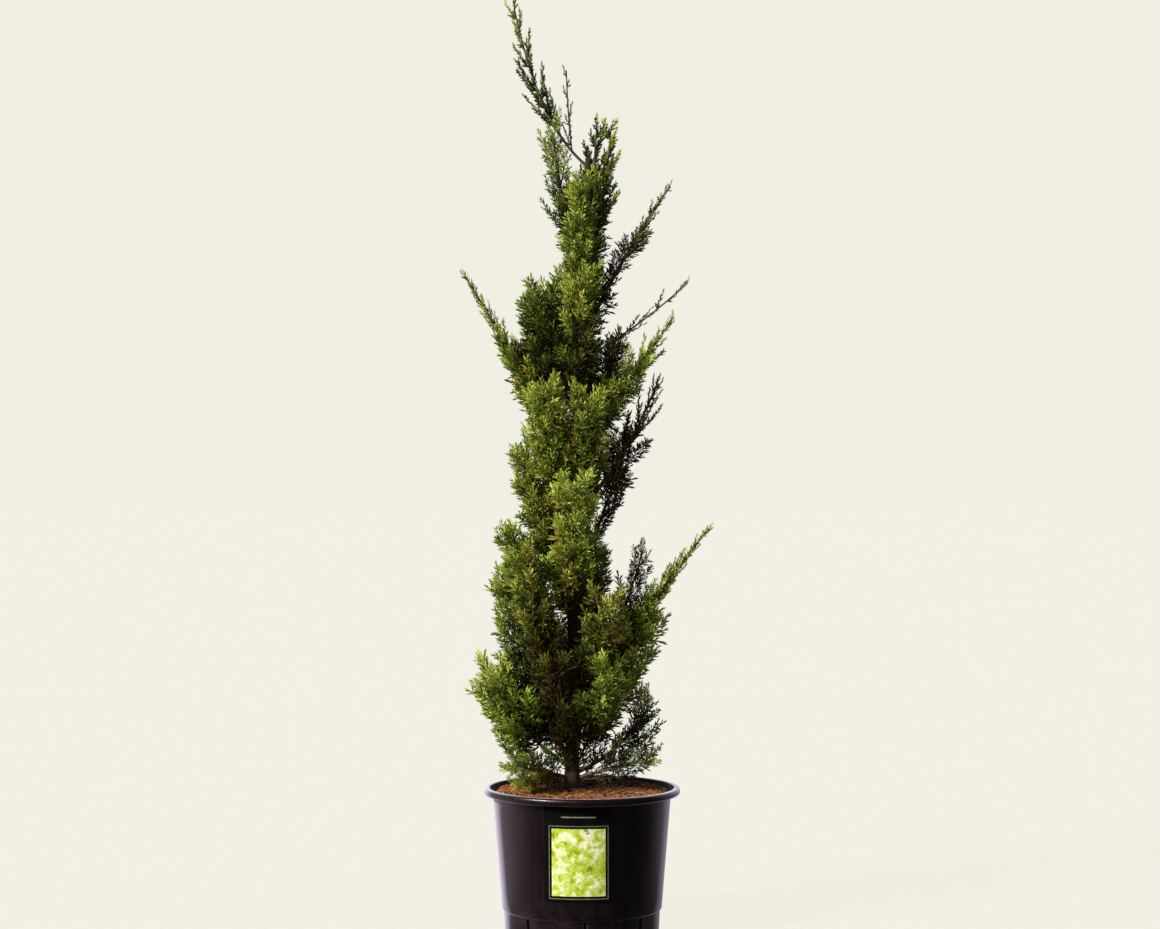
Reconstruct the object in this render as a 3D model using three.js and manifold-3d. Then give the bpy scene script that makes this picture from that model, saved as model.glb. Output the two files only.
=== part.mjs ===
// A young Chinese juniper in a nursery pot: one trunk inside a slim column of rising plumes.
// Millimetres, +Z up. The origin is the middle of the pot's flat underside. Seen from the side that
// carries the label, +X is to the right and +Y is away.
import * as THREE from "three";
import { mergeVertices } from "three/addons/utils/BufferGeometryUtils.js";
import Module from "manifold-3d";

const wasm = await Module();
wasm.setup();

// Clearances: a piece to what carries it, and foliage to any limb, pot or soil beside it
const SEAT_GAP = 0.3;
const FOLIAGE_GAP = 1.5;

// Nursery pot: a thin tapered wall with a rolled rim, a stepped foot and drainage slots
const POT_HEIGHT = 220;
const RIM_RADIUS = 150;
const RIM_HEIGHT = 11;
const RIM_ROUND = 4.5;
const MOUTH_RADIUS = 140;
const POT_WALL = 2.2;
const SHOULDER_RADIUS = 136;
const STEP_HEIGHT = 36;
const STEP_RADIUS = 122;
const STEP_DEPTH = 2.5;
const FOOT_RADIUS = 117.5;
const FLOOR_THICKNESS = 3;
const POT_SIDES = 36;
const SLOT_COUNT = 8;
const SLOT_WIDTH = 5;
const SLOT_HEIGHT = 34;
const SLOT_DEPTH = 14;
const SLOT_TURN = THREE.MathUtils.degToRad(2.5);

// Compost: flat round the trunk's foot, lower and lumpy towards the pot's wall
const GROUND = 217;
const SOIL_EDGE = 213;
const SOIL_FLAT_RADIUS = 42;
const SOIL_RINGS = 4;
const SOIL_LUMP = 1.6;

// Label card, bent to the pot's front wall just under the rim
const CARD_WIDTH = 105;
const CARD_LENGTH = 144;
const CARD_THICKNESS = 0.8;
const CARD_TOP = 208.5;
const CARD_TURN = THREE.MathUtils.degToRad(-92.3);

// Trunk: upright at the foot, leaning to the right above, pruned off square at the top
const TRUNK_TOP = 1180;
const TRUNK_FOOT_X = -15;
const TRUNK_FOOT_Y = 8;
const TRUNK_LEAN = 25;
const LEAN_START = 0.3;
const TRUNK_WAVE = 3;
const TRUNK_RADIUS = 10.5;
const TRUNK_TOP_RADIUS = 5.2;
const FLARE = 5.5;
const FLARE_HEIGHT = 16;
const TRUNK_SIDES = 12;
const TRUNK_STEPS = 18;

// Boughs and stems: thickness from length, and how much they curve up on the way out
const UP = new THREE.Vector3(0, 0, 1);
const LIMB_TIP_RADIUS = 1.1;
const LIMB_BASE_RADIUS = 1.9;
const LIMB_GIRTH_PER_LENGTH = 0.0085;
const BOUGH_SIDES = 6;
const BOUGH_STEPS = 4;
const STEM_SIDES = 6;
const STEM_STEPS = 7;
const STEM_END = 0.94;

// Foliage: twigs in a spiral round the stem, each ending in a cord of scale leaves larger than life,
// with a second cord beside it on some
const GOLDEN_ANGLE = Math.PI * (3 - Math.sqrt(5));
const TWIG_PITCH = 30;
const TWIG_START = 0.1;
const TWIG_RADIUS = 1.5;
const TWIG_FACING = 0.75;
const TWIG_LEAVES = THREE.MathUtils.degToRad(52);
const TWIG_ENDS = THREE.MathUtils.degToRad(16);
const TWIG_LIFT = 0.35;
const TWIG_BEND = 0.55;
const TWIG_ROOT_SHARE = 0.25;
const CORD_LENGTH = 60;
const CORD_HALF_WIDTH = 13;
const CORD_HALF_THICKNESS = 6;
const CORD_BELLY = 0.42;
const CORD_SUNK = 0.12;
const CORD_ROOM = 0.6;
const CORD_SPREAD = THREE.MathUtils.degToRad(36);
const SIDE_CORD_EVERY = 3;
const SHORTER = [1, 0.75, 0.5];
const FULL_GIRTH = 30;
const DRAWN_OUT_TAPER = 0.75;
const DRAWN_OUT_SHARE = 0.8;
const CORE_LUMP = 0.3;
const CORE_START = 0.14;
const CORE_END = 0.9;
const SAMPLE_STEP = 5;
const STEM_SAMPLES = 12;

// Each plume is a limb from its carrier with a mass of foliage on it. from is the height where it leaves
// the trunk, turn its compass side in degrees (0 right, 90 away, 180 left, 270 front), reach and rise how
// far out and up its tip is, and girth the half width of its foliage. taper is how much that narrows to
// the tip, bare the share of the limb that is a bough with no foliage, bow how far the limb sags on the
// way out, and core the half width of its dense middle as a share of the girth.
const USUAL_PLUME = { taper: 0.4, bare: 0, bow: 0.5, core: 0.85 };
const PLUME_SIZES = {
  leader: { from: 1168, turn: 182, reach: 119, rise: 268, girth: 25, bare: 0.26, bow: 0.7, core: 0 },
  leader_spire: { on: "leader", at: 0.64, turn: 165, reach: 10, rise: 136, girth: 11, taper: 0.6, core: 0 },
  crest_left: { from: 1035, turn: 188, reach: 57, rise: 204, girth: 27, taper: 0.3, bow: 0.85, core: 0 },
  crest_right: { from: 1055, turn: 352, reach: 36, rise: 195, girth: 24, taper: 0.3, bow: 0.8, core: 0 },
  crest_back: { from: 1105, turn: 60, reach: 24, rise: 140, girth: 23, core: 0 },
  neck_front: { from: 915, turn: 262, reach: 42, rise: 240, girth: 24 },
  neck_left: { from: 925, turn: 168, reach: 28, rise: 206, girth: 21, taper: 0.5 },
  neck_right: { from: 965, turn: 14, reach: 23, rise: 190, girth: 17 },
  neck_back: { from: 925, turn: 96, reach: 44, rise: 235, girth: 31 },
  shoulder_left: { from: 785, turn: 198, reach: 60, rise: 180, girth: 44, taper: 0.35 },
  shoulder_front: { from: 795, turn: 276, reach: 62, rise: 200, girth: 38 },
  shoulder_back: { from: 795, turn: 112, reach: 74, rise: 205, girth: 42 },
  shoulder_right: { from: 704, turn: 30, reach: 68, rise: 200, girth: 35, taper: 0.35 },
  spire_high: { from: 910, turn: 0, reach: 140, rise: 240, girth: 25, taper: 0.9, bare: 0.13, bow: -0.15 },
  spire_thin: { from: 872, turn: 344, reach: 176, rise: 124, girth: 13, bare: 0.4, bow: 0.2, core: 0 },
  spire_left: { from: 712, turn: 181, reach: 178, rise: 308, girth: 26, taper: 0.9, bare: 0.12, bow: -0.05 },
  spire_mid: { from: 738, turn: 336, reach: 170, rise: 208, girth: 31, taper: 0.9, bare: 0.12, bow: 0.12 },
  spire_dark: { from: 632, turn: 18, reach: 148, rise: 230, girth: 36, taper: 0.75, bare: 0.13, bow: 0.4 },
  mid_front_left: { from: 640, turn: 236, reach: 79, rise: 190, girth: 38 },
  mid_front_right: { from: 612, turn: 292, reach: 70, rise: 205, girth: 36 },
  mid_back_left: { from: 645, turn: 150, reach: 90, rise: 236, girth: 34, bow: -0.5 },
  mid_back_right: { from: 650, turn: 42, reach: 84, rise: 235, girth: 41 },
  waist_left: { from: 528, turn: 188, reach: 77, rise: 222, girth: 39 },
  waist_right: { from: 545, turn: 4, reach: 80, rise: 206, girth: 34, bow: 0.45 },
  waist_front: { from: 468, turn: 270, reach: 80, rise: 222, girth: 40 },
  waist_back: { from: 480, turn: 98, reach: 92, rise: 235, girth: 44 },
  low_left: { from: 395, turn: 200, reach: 101, rise: 222, girth: 33, taper: 0.55, bare: 0.14 },
  low_right: { from: 365, turn: 25, reach: 123, rise: 226, girth: 29, taper: 0.6, bare: 0.14 },
  spire_low: { from: 330, turn: 350, reach: 220, rise: 298, girth: 31, taper: 0.85, bare: 0.14, bow: -0.08 },
  low_front_left: { from: 332, turn: 226, reach: 102, rise: 250, girth: 42 },
  low_front_right: { from: 345, turn: 304, reach: 92, rise: 170, girth: 33 },
  low_back_left: { from: 340, turn: 132, reach: 118, rise: 240, girth: 45 },
  low_back_right: { from: 352, turn: 70, reach: 112, rise: 240, girth: 43 },
  base_left: { from: 268, turn: 174, reach: 104, rise: 290, girth: 47, taper: 0.6, bare: 0.13, bow: 0.9 },
  fan_left: { from: 250, turn: 192, reach: 120, rise: 130, girth: 50, taper: 0.35, bare: 0.18 },
  fan_right: { from: 284, turn: 354, reach: 113, rise: 194, girth: 46, taper: 0.45, bare: 0.18 },
  base_front_left: { from: 268, turn: 250, reach: 60, rise: 138, girth: 38 },
  base_front_right: { from: 280, turn: 306, reach: 92, rise: 126, girth: 38 },
  base_back: { from: 248, turn: 100, reach: 128, rise: 180, girth: 50 },
  skirt_left: { from: 232, turn: 222, reach: 120, rise: 30, girth: 43, taper: 0.3, bow: 0, core: 0 },
  skirt_right: { from: 238, turn: 6, reach: 124, rise: 114, girth: 35, bare: 0.22, bow: 0.6, core: 0 },
  skirt_front: { from: 231, turn: 342, reach: 125, rise: 36, girth: 44, taper: 0.3, bow: 0, core: 0 },
};

const PLUMES = Object.entries(PLUME_SIZES).map(([name, sizes], index) => ({
  ...USUAL_PLUME,
  ...sizes,
  name,
  seed: index + 1,
}));

const COLOURS = { pot: 0x17161a, soil: 0x7a3f1e, card: 0x101210, bark: 0x4a3426, foliage: 0x3f5f1c };
const ROUGHNESS = { pot: 0.45, soil: 0.95, card: 0.5, bark: 0.9, foliage: 0.7 };

// Repeatable random numbers from 0 to 1, a separate run for each seed
function randomRun(seed) {
  let state = (seed * 2654435761) % 4294967296;
  return () => {
    state = (Math.imul(state, 1664525) + 1013904223) >>> 0;
    return state / 4294967296;
  };
}

// Solids: three.js geometry in and out of the library that joins and cuts
function solidOf(geometry) {
  geometry.deleteAttribute("normal");
  geometry.deleteAttribute("uv");
  const merged = mergeVertices(geometry, 1e-3);
  const vertProperties = merged.attributes.position.array;
  const triVerts = new Uint32Array(merged.index.array);
  return new wasm.Manifold(new wasm.Mesh({ numProp: 3, vertProperties, triVerts }));
}

function geometryOf(solid) {
  const mesh = solid.getMesh();
  const geometry = new THREE.BufferGeometry();
  geometry.setAttribute("position", new THREE.BufferAttribute(mesh.vertProperties, 3));
  geometry.setIndex(new THREE.BufferAttribute(mesh.triVerts, 1));
  geometry.computeVertexNormals();
  return geometry;
}

// The largest body of a solid: loose scraps and sealed hollows are left behind
function mainBody(solid) {
  const bodies = solid.decompose();
  return bodies.reduce((best, body) => (body.volume() > best.volume() ? body : best));
}

// Centres, directions and two square-on axes at even steps along a path
function ringsAlong(path, steps, facing = new THREE.Vector3(0, 1, 0)) {
  const rings = [];
  let side = facing;
  for (let i = 0; i <= steps; i++) {
    const share = i / steps;
    const along = path(Math.min(share + 0.01, 1)).sub(path(Math.max(share - 0.01, 0))).normalize();
    side = side.clone().addScaledVector(along, -side.dot(along)).normalize();
    rings.push({ share, centre: path(share), along, side, front: side.clone().cross(along) });
  }
  return rings;
}

// A closed tube round a path, whose radius depends on the share of the path and the direction out
function tube(path, radius, sides, steps) {
  const geometry = new THREE.CylinderGeometry(1, 1, 1, sides, steps);
  const rings = ringsAlong(path, steps);
  const position = geometry.attributes.position;
  const point = new THREE.Vector3();
  for (let i = 0; i < position.count; i++) {
    point.fromBufferAttribute(position, i);
    const ring = rings[Math.round((point.y + 0.5) * steps)];
    const out = ring.side.clone().multiplyScalar(point.x).addScaledVector(ring.front, point.z);
    point.copy(ring.centre).addScaledVector(out, radius(ring.share, ring.centre, out));
    position.setXYZ(i, point.x, point.y, point.z);
  }
  return geometry;
}

// Pot: a lathe profile from the underside up the outside, over the rolled rim and down the inside
function outerRadius(height) {
  const share = (height - STEP_HEIGHT) / (POT_HEIGHT - RIM_HEIGHT - STEP_HEIGHT);
  return THREE.MathUtils.lerp(STEP_RADIUS, SHOULDER_RADIUS, share);
}

function rimArc(centreRadius, centreHeight, startAngle, endAngle) {
  const arc = new THREE.Path();
  arc.absarc(centreRadius, centreHeight, RIM_ROUND, startAngle, endAngle, endAngle < startAngle);
  return arc.getPoints(2);
}

function potProfile() {
  const underRim = POT_HEIGHT - RIM_HEIGHT;
  const lipRadius = RIM_RADIUS - RIM_ROUND;
  return [
    new THREE.Vector2(0, 0),
    new THREE.Vector2(FOOT_RADIUS, 0),
    new THREE.Vector2(STEP_RADIUS - STEP_DEPTH, STEP_HEIGHT - STEP_DEPTH),
    new THREE.Vector2(STEP_RADIUS, STEP_HEIGHT),
    new THREE.Vector2(SHOULDER_RADIUS, underRim),
    ...rimArc(lipRadius, underRim + RIM_ROUND, -Math.PI / 2, 0),
    ...rimArc(lipRadius, POT_HEIGHT - RIM_ROUND, 0, Math.PI / 2),
    new THREE.Vector2(MOUTH_RADIUS, POT_HEIGHT - POT_WALL),
    new THREE.Vector2(SHOULDER_RADIUS - POT_WALL, underRim),
    new THREE.Vector2(STEP_RADIUS - STEP_DEPTH - POT_WALL, STEP_HEIGHT),
    new THREE.Vector2(FOOT_RADIUS - POT_WALL, FLOOR_THICKNESS),
    new THREE.Vector2(0, FLOOR_THICKNESS),
  ];
}

function turned(profile, sides) {
  return new THREE.LatheGeometry(profile, sides).rotateX(Math.PI / 2);
}

function pot() {
  let body = solidOf(turned(potProfile(), POT_SIDES));
  for (let i = 0; i < SLOT_COUNT; i++) {
    const slot = new THREE.BoxGeometry(2 * SLOT_DEPTH, SLOT_WIDTH, 2 * SLOT_HEIGHT);
    slot.translate(FOOT_RADIUS, 0, 0);
    slot.rotateZ(SLOT_TURN - Math.PI / 2 + (i * 2 * Math.PI) / SLOT_COUNT);
    body = body.subtract(solidOf(slot));
  }
  return geometryOf(body);
}

// Compost: fills the pot just clear of its wall, with a lumpy top
function innerRadius(height) {
  return outerRadius(height) - POT_WALL - STEP_DEPTH - SEAT_GAP;
}

function soil() {
  const bottom = FLOOR_THICKNESS + SEAT_GAP;
  const profile = [
    new THREE.Vector2(0, bottom),
    new THREE.Vector2(FOOT_RADIUS - POT_WALL - STEP_DEPTH, bottom),
    new THREE.Vector2(innerRadius(STEP_HEIGHT), STEP_HEIGHT),
  ];
  for (let ring = 0; ring <= SOIL_RINGS; ring++) {
    const share = ring / SOIL_RINGS;
    const radius = THREE.MathUtils.lerp(innerRadius(SOIL_EDGE), SOIL_FLAT_RADIUS, share);
    const height = THREE.MathUtils.lerp(SOIL_EDGE, GROUND - SEAT_GAP, Math.sin((share * Math.PI) / 2));
    profile.push(new THREE.Vector2(radius, height));
  }
  profile.push(new THREE.Vector2(0, GROUND - SEAT_GAP));
  const geometry = turned(profile, POT_SIDES);
  const position = geometry.attributes.position;
  for (let i = 0; i < position.count; i++) {
    const radius = Math.hypot(position.getX(i), position.getY(i));
    const onTop = position.getZ(i) > SOIL_EDGE - 1 && radius > SOIL_FLAT_RADIUS + 1;
    const turn = Math.atan2(position.getY(i), position.getX(i));
    const lump = SOIL_LUMP * Math.sin(7 * turn + radius / 9) * Math.cos(4 * turn - radius / 15);
    if (onTop) position.setZ(i, position.getZ(i) + lump);
  }
  return geometryOf(solidOf(geometry));
}

// Label card: a thin board wrapped on the cone of the pot's wall
function labelCard() {
  const geometry = new THREE.BoxGeometry(CARD_WIDTH, CARD_LENGTH, CARD_THICKNESS, 10, 1, 1);
  const position = geometry.attributes.position;
  for (let i = 0; i < position.count; i++) {
    const height = CARD_TOP - CARD_LENGTH / 2 + position.getY(i);
    const wall = outerRadius(height);
    const radius = wall + SEAT_GAP + CARD_THICKNESS / 2 + position.getZ(i);
    const turn = CARD_TURN + position.getX(i) / outerRadius(CARD_TOP);
    position.setXYZ(i, radius * Math.cos(turn), radius * Math.sin(turn), height);
  }
  return geometry;
}

// Trunk: its axis and half thickness at a share of its height
function trunkAxis(share) {
  const lean = TRUNK_LEAN * THREE.MathUtils.smoothstep(share, LEAN_START, 1);
  const inward = THREE.MathUtils.smoothstep(share, 0, 1);
  const wave = TRUNK_WAVE * Math.sin(3 * Math.PI * share) * THREE.MathUtils.smoothstep(share, 0, 0.3);
  const height = THREE.MathUtils.lerp(GROUND, TRUNK_TOP, share);
  return new THREE.Vector3(TRUNK_FOOT_X + lean + wave, TRUNK_FOOT_Y * (1 - inward) - wave, height);
}

function trunkRadius(share) {
  const flare = FLARE * Math.exp((-share * (TRUNK_TOP - GROUND)) / FLARE_HEIGHT);
  return THREE.MathUtils.lerp(TRUNK_RADIUS, TRUNK_TOP_RADIUS, share) + flare;
}

const trunk = {
  path: trunkAxis,
  radius: trunkRadius,
  geometry: (extra) => tube(trunkAxis, (share) => trunkRadius(share) + extra, TRUNK_SIDES, TRUNK_STEPS),
};

// Limbs: a plume's curve from the middle of its carrier to its tip, rising as it goes out
function limbCurve(plume, carrier) {
  const start = plume.on
    ? carrier.path(plume.at)
    : carrier.path((plume.from - GROUND) / (TRUNK_TOP - GROUND));
  const towards = (outShare, upShare) => {
    const point = start.clone().addScaledVector(plume.outward, plume.reach * outShare);
    return point.addScaledVector(UP, plume.rise * upShare);
  };
  const middle = towards(0.5 + 0.24 * plume.bow, 0.5 - 0.4 * plume.bow);
  return new THREE.QuadraticBezierCurve3(start, middle, towards(1, 1));
}

function limbRadius(plume, length, share) {
  const slim = Math.min(1, plume.girth / FULL_GIRTH);
  const foot = slim * (LIMB_BASE_RADIUS + LIMB_GIRTH_PER_LENGTH * length);
  return THREE.MathUtils.lerp(foot, LIMB_TIP_RADIUS, share);
}

function addLimb(plume, carrier) {
  const turn = THREE.MathUtils.degToRad(plume.turn);
  plume.outward = new THREE.Vector3(Math.cos(turn), Math.sin(turn), 0);
  const curve = limbCurve(plume, carrier);
  const length = curve.getLength();
  const gap = SEAT_GAP / length;
  plume.carrier = carrier;
  plume.curve = curve;
  plume.stemStart = plume.bare ? plume.bare + gap : 0;
  plume.stem = (share) => curve.getPoint(THREE.MathUtils.lerp(plume.stemStart, 1, share));
  plume.stemRadius = (share) => limbRadius(plume, length, THREE.MathUtils.lerp(plume.stemStart, 1, share));
  plume.stemPoints = Array.from({ length: STEM_SAMPLES + 1 }, (_, i) => plume.stem(i / STEM_SAMPLES));
  if (plume.bare) {
    const path = (share) => curve.getPoint(share * plume.bare);
    const radius = (share) => limbRadius(plume, length, share * plume.bare);
    const geometry = (extra) => tube(path, (share) => radius(share) + extra, BOUGH_SIDES, BOUGH_STEPS);
    plume.bough = { path, radius, geometry };
  }
}

for (const plume of PLUMES) {
  const carrier = plume.on ? PLUMES.find((other) => other.name === plume.on).bough : trunk;
  addLimb(plume, carrier);
}

// Each limb as a row of round samples, for keeping foliage clear of it
function samplesAlong(limb, count) {
  return Array.from({ length: count + 1 }, (_, i) => ({
    point: limb.path(i / count),
    radius: limb.radius(i / count),
  }));
}

const LIMB_SAMPLES = [
  ...samplesAlong(trunk, 120),
  ...PLUMES.filter((plume) => plume.bough).flatMap((plume) => samplesAlong(plume.bough, 20)),
];

function distanceToLine(point, line) {
  const segment = new THREE.Line3();
  const nearest = new THREE.Vector3();
  let least = Infinity;
  for (let i = 1; i < line.length; i++) {
    segment.set(line[i - 1], line[i]).closestPointToPoint(point, true, nearest);
    least = Math.min(least, nearest.distanceTo(point));
  }
  return least;
}

// A plume's own space: the points that are nearer to its stem than to any other, measured in girths
function inOwnSpace(plume, point, halfWidth) {
  const margin = halfWidth + FOLIAGE_GAP;
  const own = (distanceToLine(point, plume.stemPoints) + margin) / plume.girth;
  return PLUMES.every(
    (other) => other === plume || (distanceToLine(point, other.stemPoints) - margin) / other.girth > own,
  );
}

function clearOfLimbs(point, halfWidth) {
  const margin = halfWidth + FOLIAGE_GAP;
  return LIMB_SAMPLES.every((limb) => limb.point.distanceTo(point) > limb.radius + margin);
}

function clearOfPot(point, halfWidth) {
  const overPot = Math.hypot(point.x, point.y) < RIM_RADIUS + halfWidth + FOLIAGE_GAP;
  const above = overPot ? POT_HEIGHT + FOLIAGE_GAP : POT_HEIGHT - RIM_HEIGHT;
  return point.z - halfWidth > above;
}

function hasRoom(plume, point, halfWidth) {
  return (
    clearOfPot(point, halfWidth) && clearOfLimbs(point, halfWidth) && inOwnSpace(plume, point, halfWidth)
  );
}

// True if a straight piece from one point to another keeps to the plume's space, past its root
function fits(plume, from, to, halfWidth, rootLength) {
  const length = from.distanceTo(to);
  const count = Math.ceil(length / SAMPLE_STEP);
  for (let i = 0; i <= count; i++) {
    const share = i / count;
    const pastRoot = share * length > rootLength;
    if (pastRoot && !hasRoom(plume, from.clone().lerp(to, share), halfWidth)) return false;
  }
  return true;
}

// How far the foliage stands out from the stem, as a share of the plume's girth
function swell(plume, share) {
  return Math.min(1, 0.55 + 2.2 * share) * (1 - plume.taper * share ** 1.3);
}

// How much smaller the cords get towards the thin tip of a plume that is drawn out into a spire
function drawnOut(plume, share) {
  if (plume.taper < DRAWN_OUT_TAPER) return 1;
  const slim = THREE.MathUtils.smoothstep(share, 0.25, 0.65);
  return 1 - DRAWN_OUT_SHARE * slim * plume.taper * share ** 1.3;
}

// The twig rule: the root, bend, end and cord tip of twig number i of a plume, whole or shortened
function growTwig(plume, i, count, shorter) {
  const random = randomRun(plume.seed * 1000 + i);
  const share = THREE.MathUtils.lerp(TWIG_START, STEM_END, (i + 0.5) / count);
  const spiral = (i * GOLDEN_ANGLE + plume.seed) % (2 * Math.PI) - Math.PI;
  const turn = TWIG_FACING * spiral + 0.6 * (random() - 0.5);
  const length = plume.girth * swell(plume, share) * (0.8 + 0.4 * random()) * shorter;
  const fullSize = (0.8 + 0.4 * random()) * Math.min(1, plume.girth / FULL_GIRTH) * shorter;
  const size = fullSize * drawnOut(plume, share);
  const ring = ringsAlong(plume.stem, 20, plume.outward)[Math.round(share * 20)];
  const out = ring.side.clone().multiplyScalar(Math.cos(turn)).addScaledVector(ring.front, Math.sin(turn));
  const leaning = (angle) =>
    out.clone().multiplyScalar(Math.sin(angle)).addScaledVector(ring.along, Math.cos(angle));
  const along = leaning(TWIG_ENDS).addScaledVector(UP, TWIG_LIFT).normalize();
  const root = plume.stem(share);
  const bend = root.clone().addScaledVector(leaning(TWIG_LEAVES), length * TWIG_BEND);
  const end = bend.clone().addScaledVector(along, length * (1 - TWIG_BEND));
  const tip = end.clone().addScaledVector(along, CORD_LENGTH * size);
  const tilt = (random() < 0.5 ? -1 : 1) * CORD_SPREAD * (0.8 + 0.4 * random());
  return { root, bend, end, tip, out, along, size, tilt };
}

// A cord's half width in a direction square to it: broad across, thin through
function cordReach(out, flatSide, size) {
  const thin = Math.min(1, Math.abs(out.dot(flatSide)));
  return size * THREE.MathUtils.lerp(CORD_HALF_WIDTH, CORD_HALF_THICKNESS, thin);
}

// A three-sided twig that swells into the cord at its end
function twigWithCord(twig) {
  const curve = new THREE.QuadraticBezierCurve3(twig.root, twig.bend, twig.tip);
  const radius = (share, centre, out) => {
    if (share < 0.5) return TWIG_RADIUS;
    return share < 1 ? cordReach(out, twig.out, twig.size) : 0;
  };
  return solidOf(tube((share) => curve.getPoint(share), radius, 3, 3));
}

// A cord on its own: a flat eight-sided spindle from its root to its tip
function cord(root, tip, flatSide, size) {
  const geometry = new THREE.OctahedronGeometry(1);
  const along = tip.clone().sub(root);
  const across = flatSide.clone().cross(along).normalize();
  const through = across.clone().cross(along).normalize();
  const position = geometry.attributes.position;
  const point = new THREE.Vector3();
  for (let i = 0; i < position.count; i++) {
    point.fromBufferAttribute(position, i);
    const share = Math.abs(point.y) > 0.5 ? (point.y + 1) / 2 : CORD_BELLY;
    const place = root.clone().addScaledVector(along, share);
    place.addScaledVector(across, point.x * CORD_HALF_WIDTH * size);
    place.addScaledVector(through, point.z * CORD_HALF_THICKNESS * size);
    position.setXYZ(i, place.x, place.y, place.z);
  }
  return solidOf(geometry);
}

function twigFits(plume, twig) {
  const halfWidth = CORD_HALF_WIDTH * CORD_ROOM * twig.size;
  const inCore = plume.girth * Math.max(plume.core, TWIG_ROOT_SHARE);
  return (
    fits(plume, twig.root, twig.bend, TWIG_RADIUS, inCore) && fits(plume, twig.bend, twig.tip, halfWidth, 0)
  );
}

function twigSolids(plume, twig, hasSideCord) {
  const solids = [twigWithCord(twig)];
  if (hasSideCord) {
    const sideways = twig.along.clone().applyAxisAngle(twig.out, twig.tilt);
    const root = twig.end.clone().addScaledVector(sideways, -CORD_SUNK * CORD_LENGTH * twig.size);
    const tip = root.clone().addScaledVector(sideways, CORD_LENGTH * twig.size);
    const halfWidth = CORD_HALF_WIDTH * CORD_ROOM * twig.size;
    if (fits(plume, root, tip, halfWidth, 0)) solids.push(cord(root, tip, twig.out, twig.size));
  }
  return solids;
}

// The half thickness of a mass's stem: in a dense plume it carries the core, drawn in where a limb or a
// neighbour is near
function stemReach(plume, share, centre, out) {
  const bareStem = plume.stemRadius(share);
  if (!plume.core || share < CORE_START || share > CORE_END) return bareStem;
  const coreShare = THREE.MathUtils.mapLinear(share, CORE_START, CORE_END, 0.1, 0.95);
  const lump = 1 - CORE_LUMP * (0.5 + 0.5 * Math.sin(centre.z / 3 + 7 * Math.atan2(out.y, out.x)));
  const fullness = plume.core * lump * swell(plume, share) * Math.sin(Math.PI * coreShare);
  let reach = bareStem + plume.girth * fullness;
  while (reach > bareStem && !hasRoom(plume, centre.clone().addScaledVector(out, reach), 2)) reach -= 1;
  return Math.max(reach, bareStem);
}

function foliage(plume) {
  const stemPath = (share) => plume.stem(share * STEM_END);
  const stemRadius = (share, centre, out) => stemReach(plume, share * STEM_END, centre, out);
  const solids = [solidOf(tube(stemPath, stemRadius, STEM_SIDES, STEM_STEPS))];
  const tip = plume.stem(1);
  const tipSize = Math.min(1, plume.girth / FULL_GIRTH) * drawnOut(plume, 1);
  const tipRoot = tip.clone().addScaledVector(plume.curve.getTangent(1), -CORD_LENGTH * tipSize);
  solids.push(cord(tipRoot, tip, new THREE.Vector3(0, 1, 0), tipSize));
  const count = Math.round((plume.curve.getLength() * (1 - plume.stemStart)) / TWIG_PITCH);
  for (let i = 0; i < count; i++) {
    const choices = SHORTER.map((shorter) => growTwig(plume, i, count, shorter));
    const twig = choices.find((choice) => twigFits(plume, choice));
    if (twig) solids.push(...twigSolids(plume, twig, i % SIDE_CORD_EVERY === 0));
  }
  let mass = solids.reduce((whole, solid) => whole.add(solid));
  if (!plume.bare) mass = mass.subtract(solidOf(plume.carrier.geometry(SEAT_GAP)));
  return geometryOf(mainBody(mass));
}

function bough(plume) {
  const limb = solidOf(plume.bough.geometry(0));
  return geometryOf(mainBody(limb.subtract(solidOf(plume.carrier.geometry(SEAT_GAP)))));
}

function named(name, geometry, finish) {
  const material = new THREE.MeshStandardMaterial({
    color: COLOURS[finish],
    roughness: ROUGHNESS[finish],
    metalness: 0,
  });
  const mesh = new THREE.Mesh(geometry, material);
  mesh.name = name;
  return mesh;
}

const juniper = new THREE.Group();
juniper.add(named("pot", pot(), "pot"));
juniper.add(named("soil", soil(), "soil"));
juniper.add(named("label_card", labelCard(), "card"));
juniper.add(named("trunk", trunk.geometry(0), "bark"));
for (const plume of PLUMES) {
  if (plume.bough) juniper.add(named(`bough_${plume.name}`, bough(plume), "bark"));
  juniper.add(named(`foliage_${plume.name}`, foliage(plume), "foliage"));
}

export default juniper;
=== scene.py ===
import math

import bmesh
import bpy
import numpy as np
from mathutils import Matrix, Vector, noise


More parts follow.
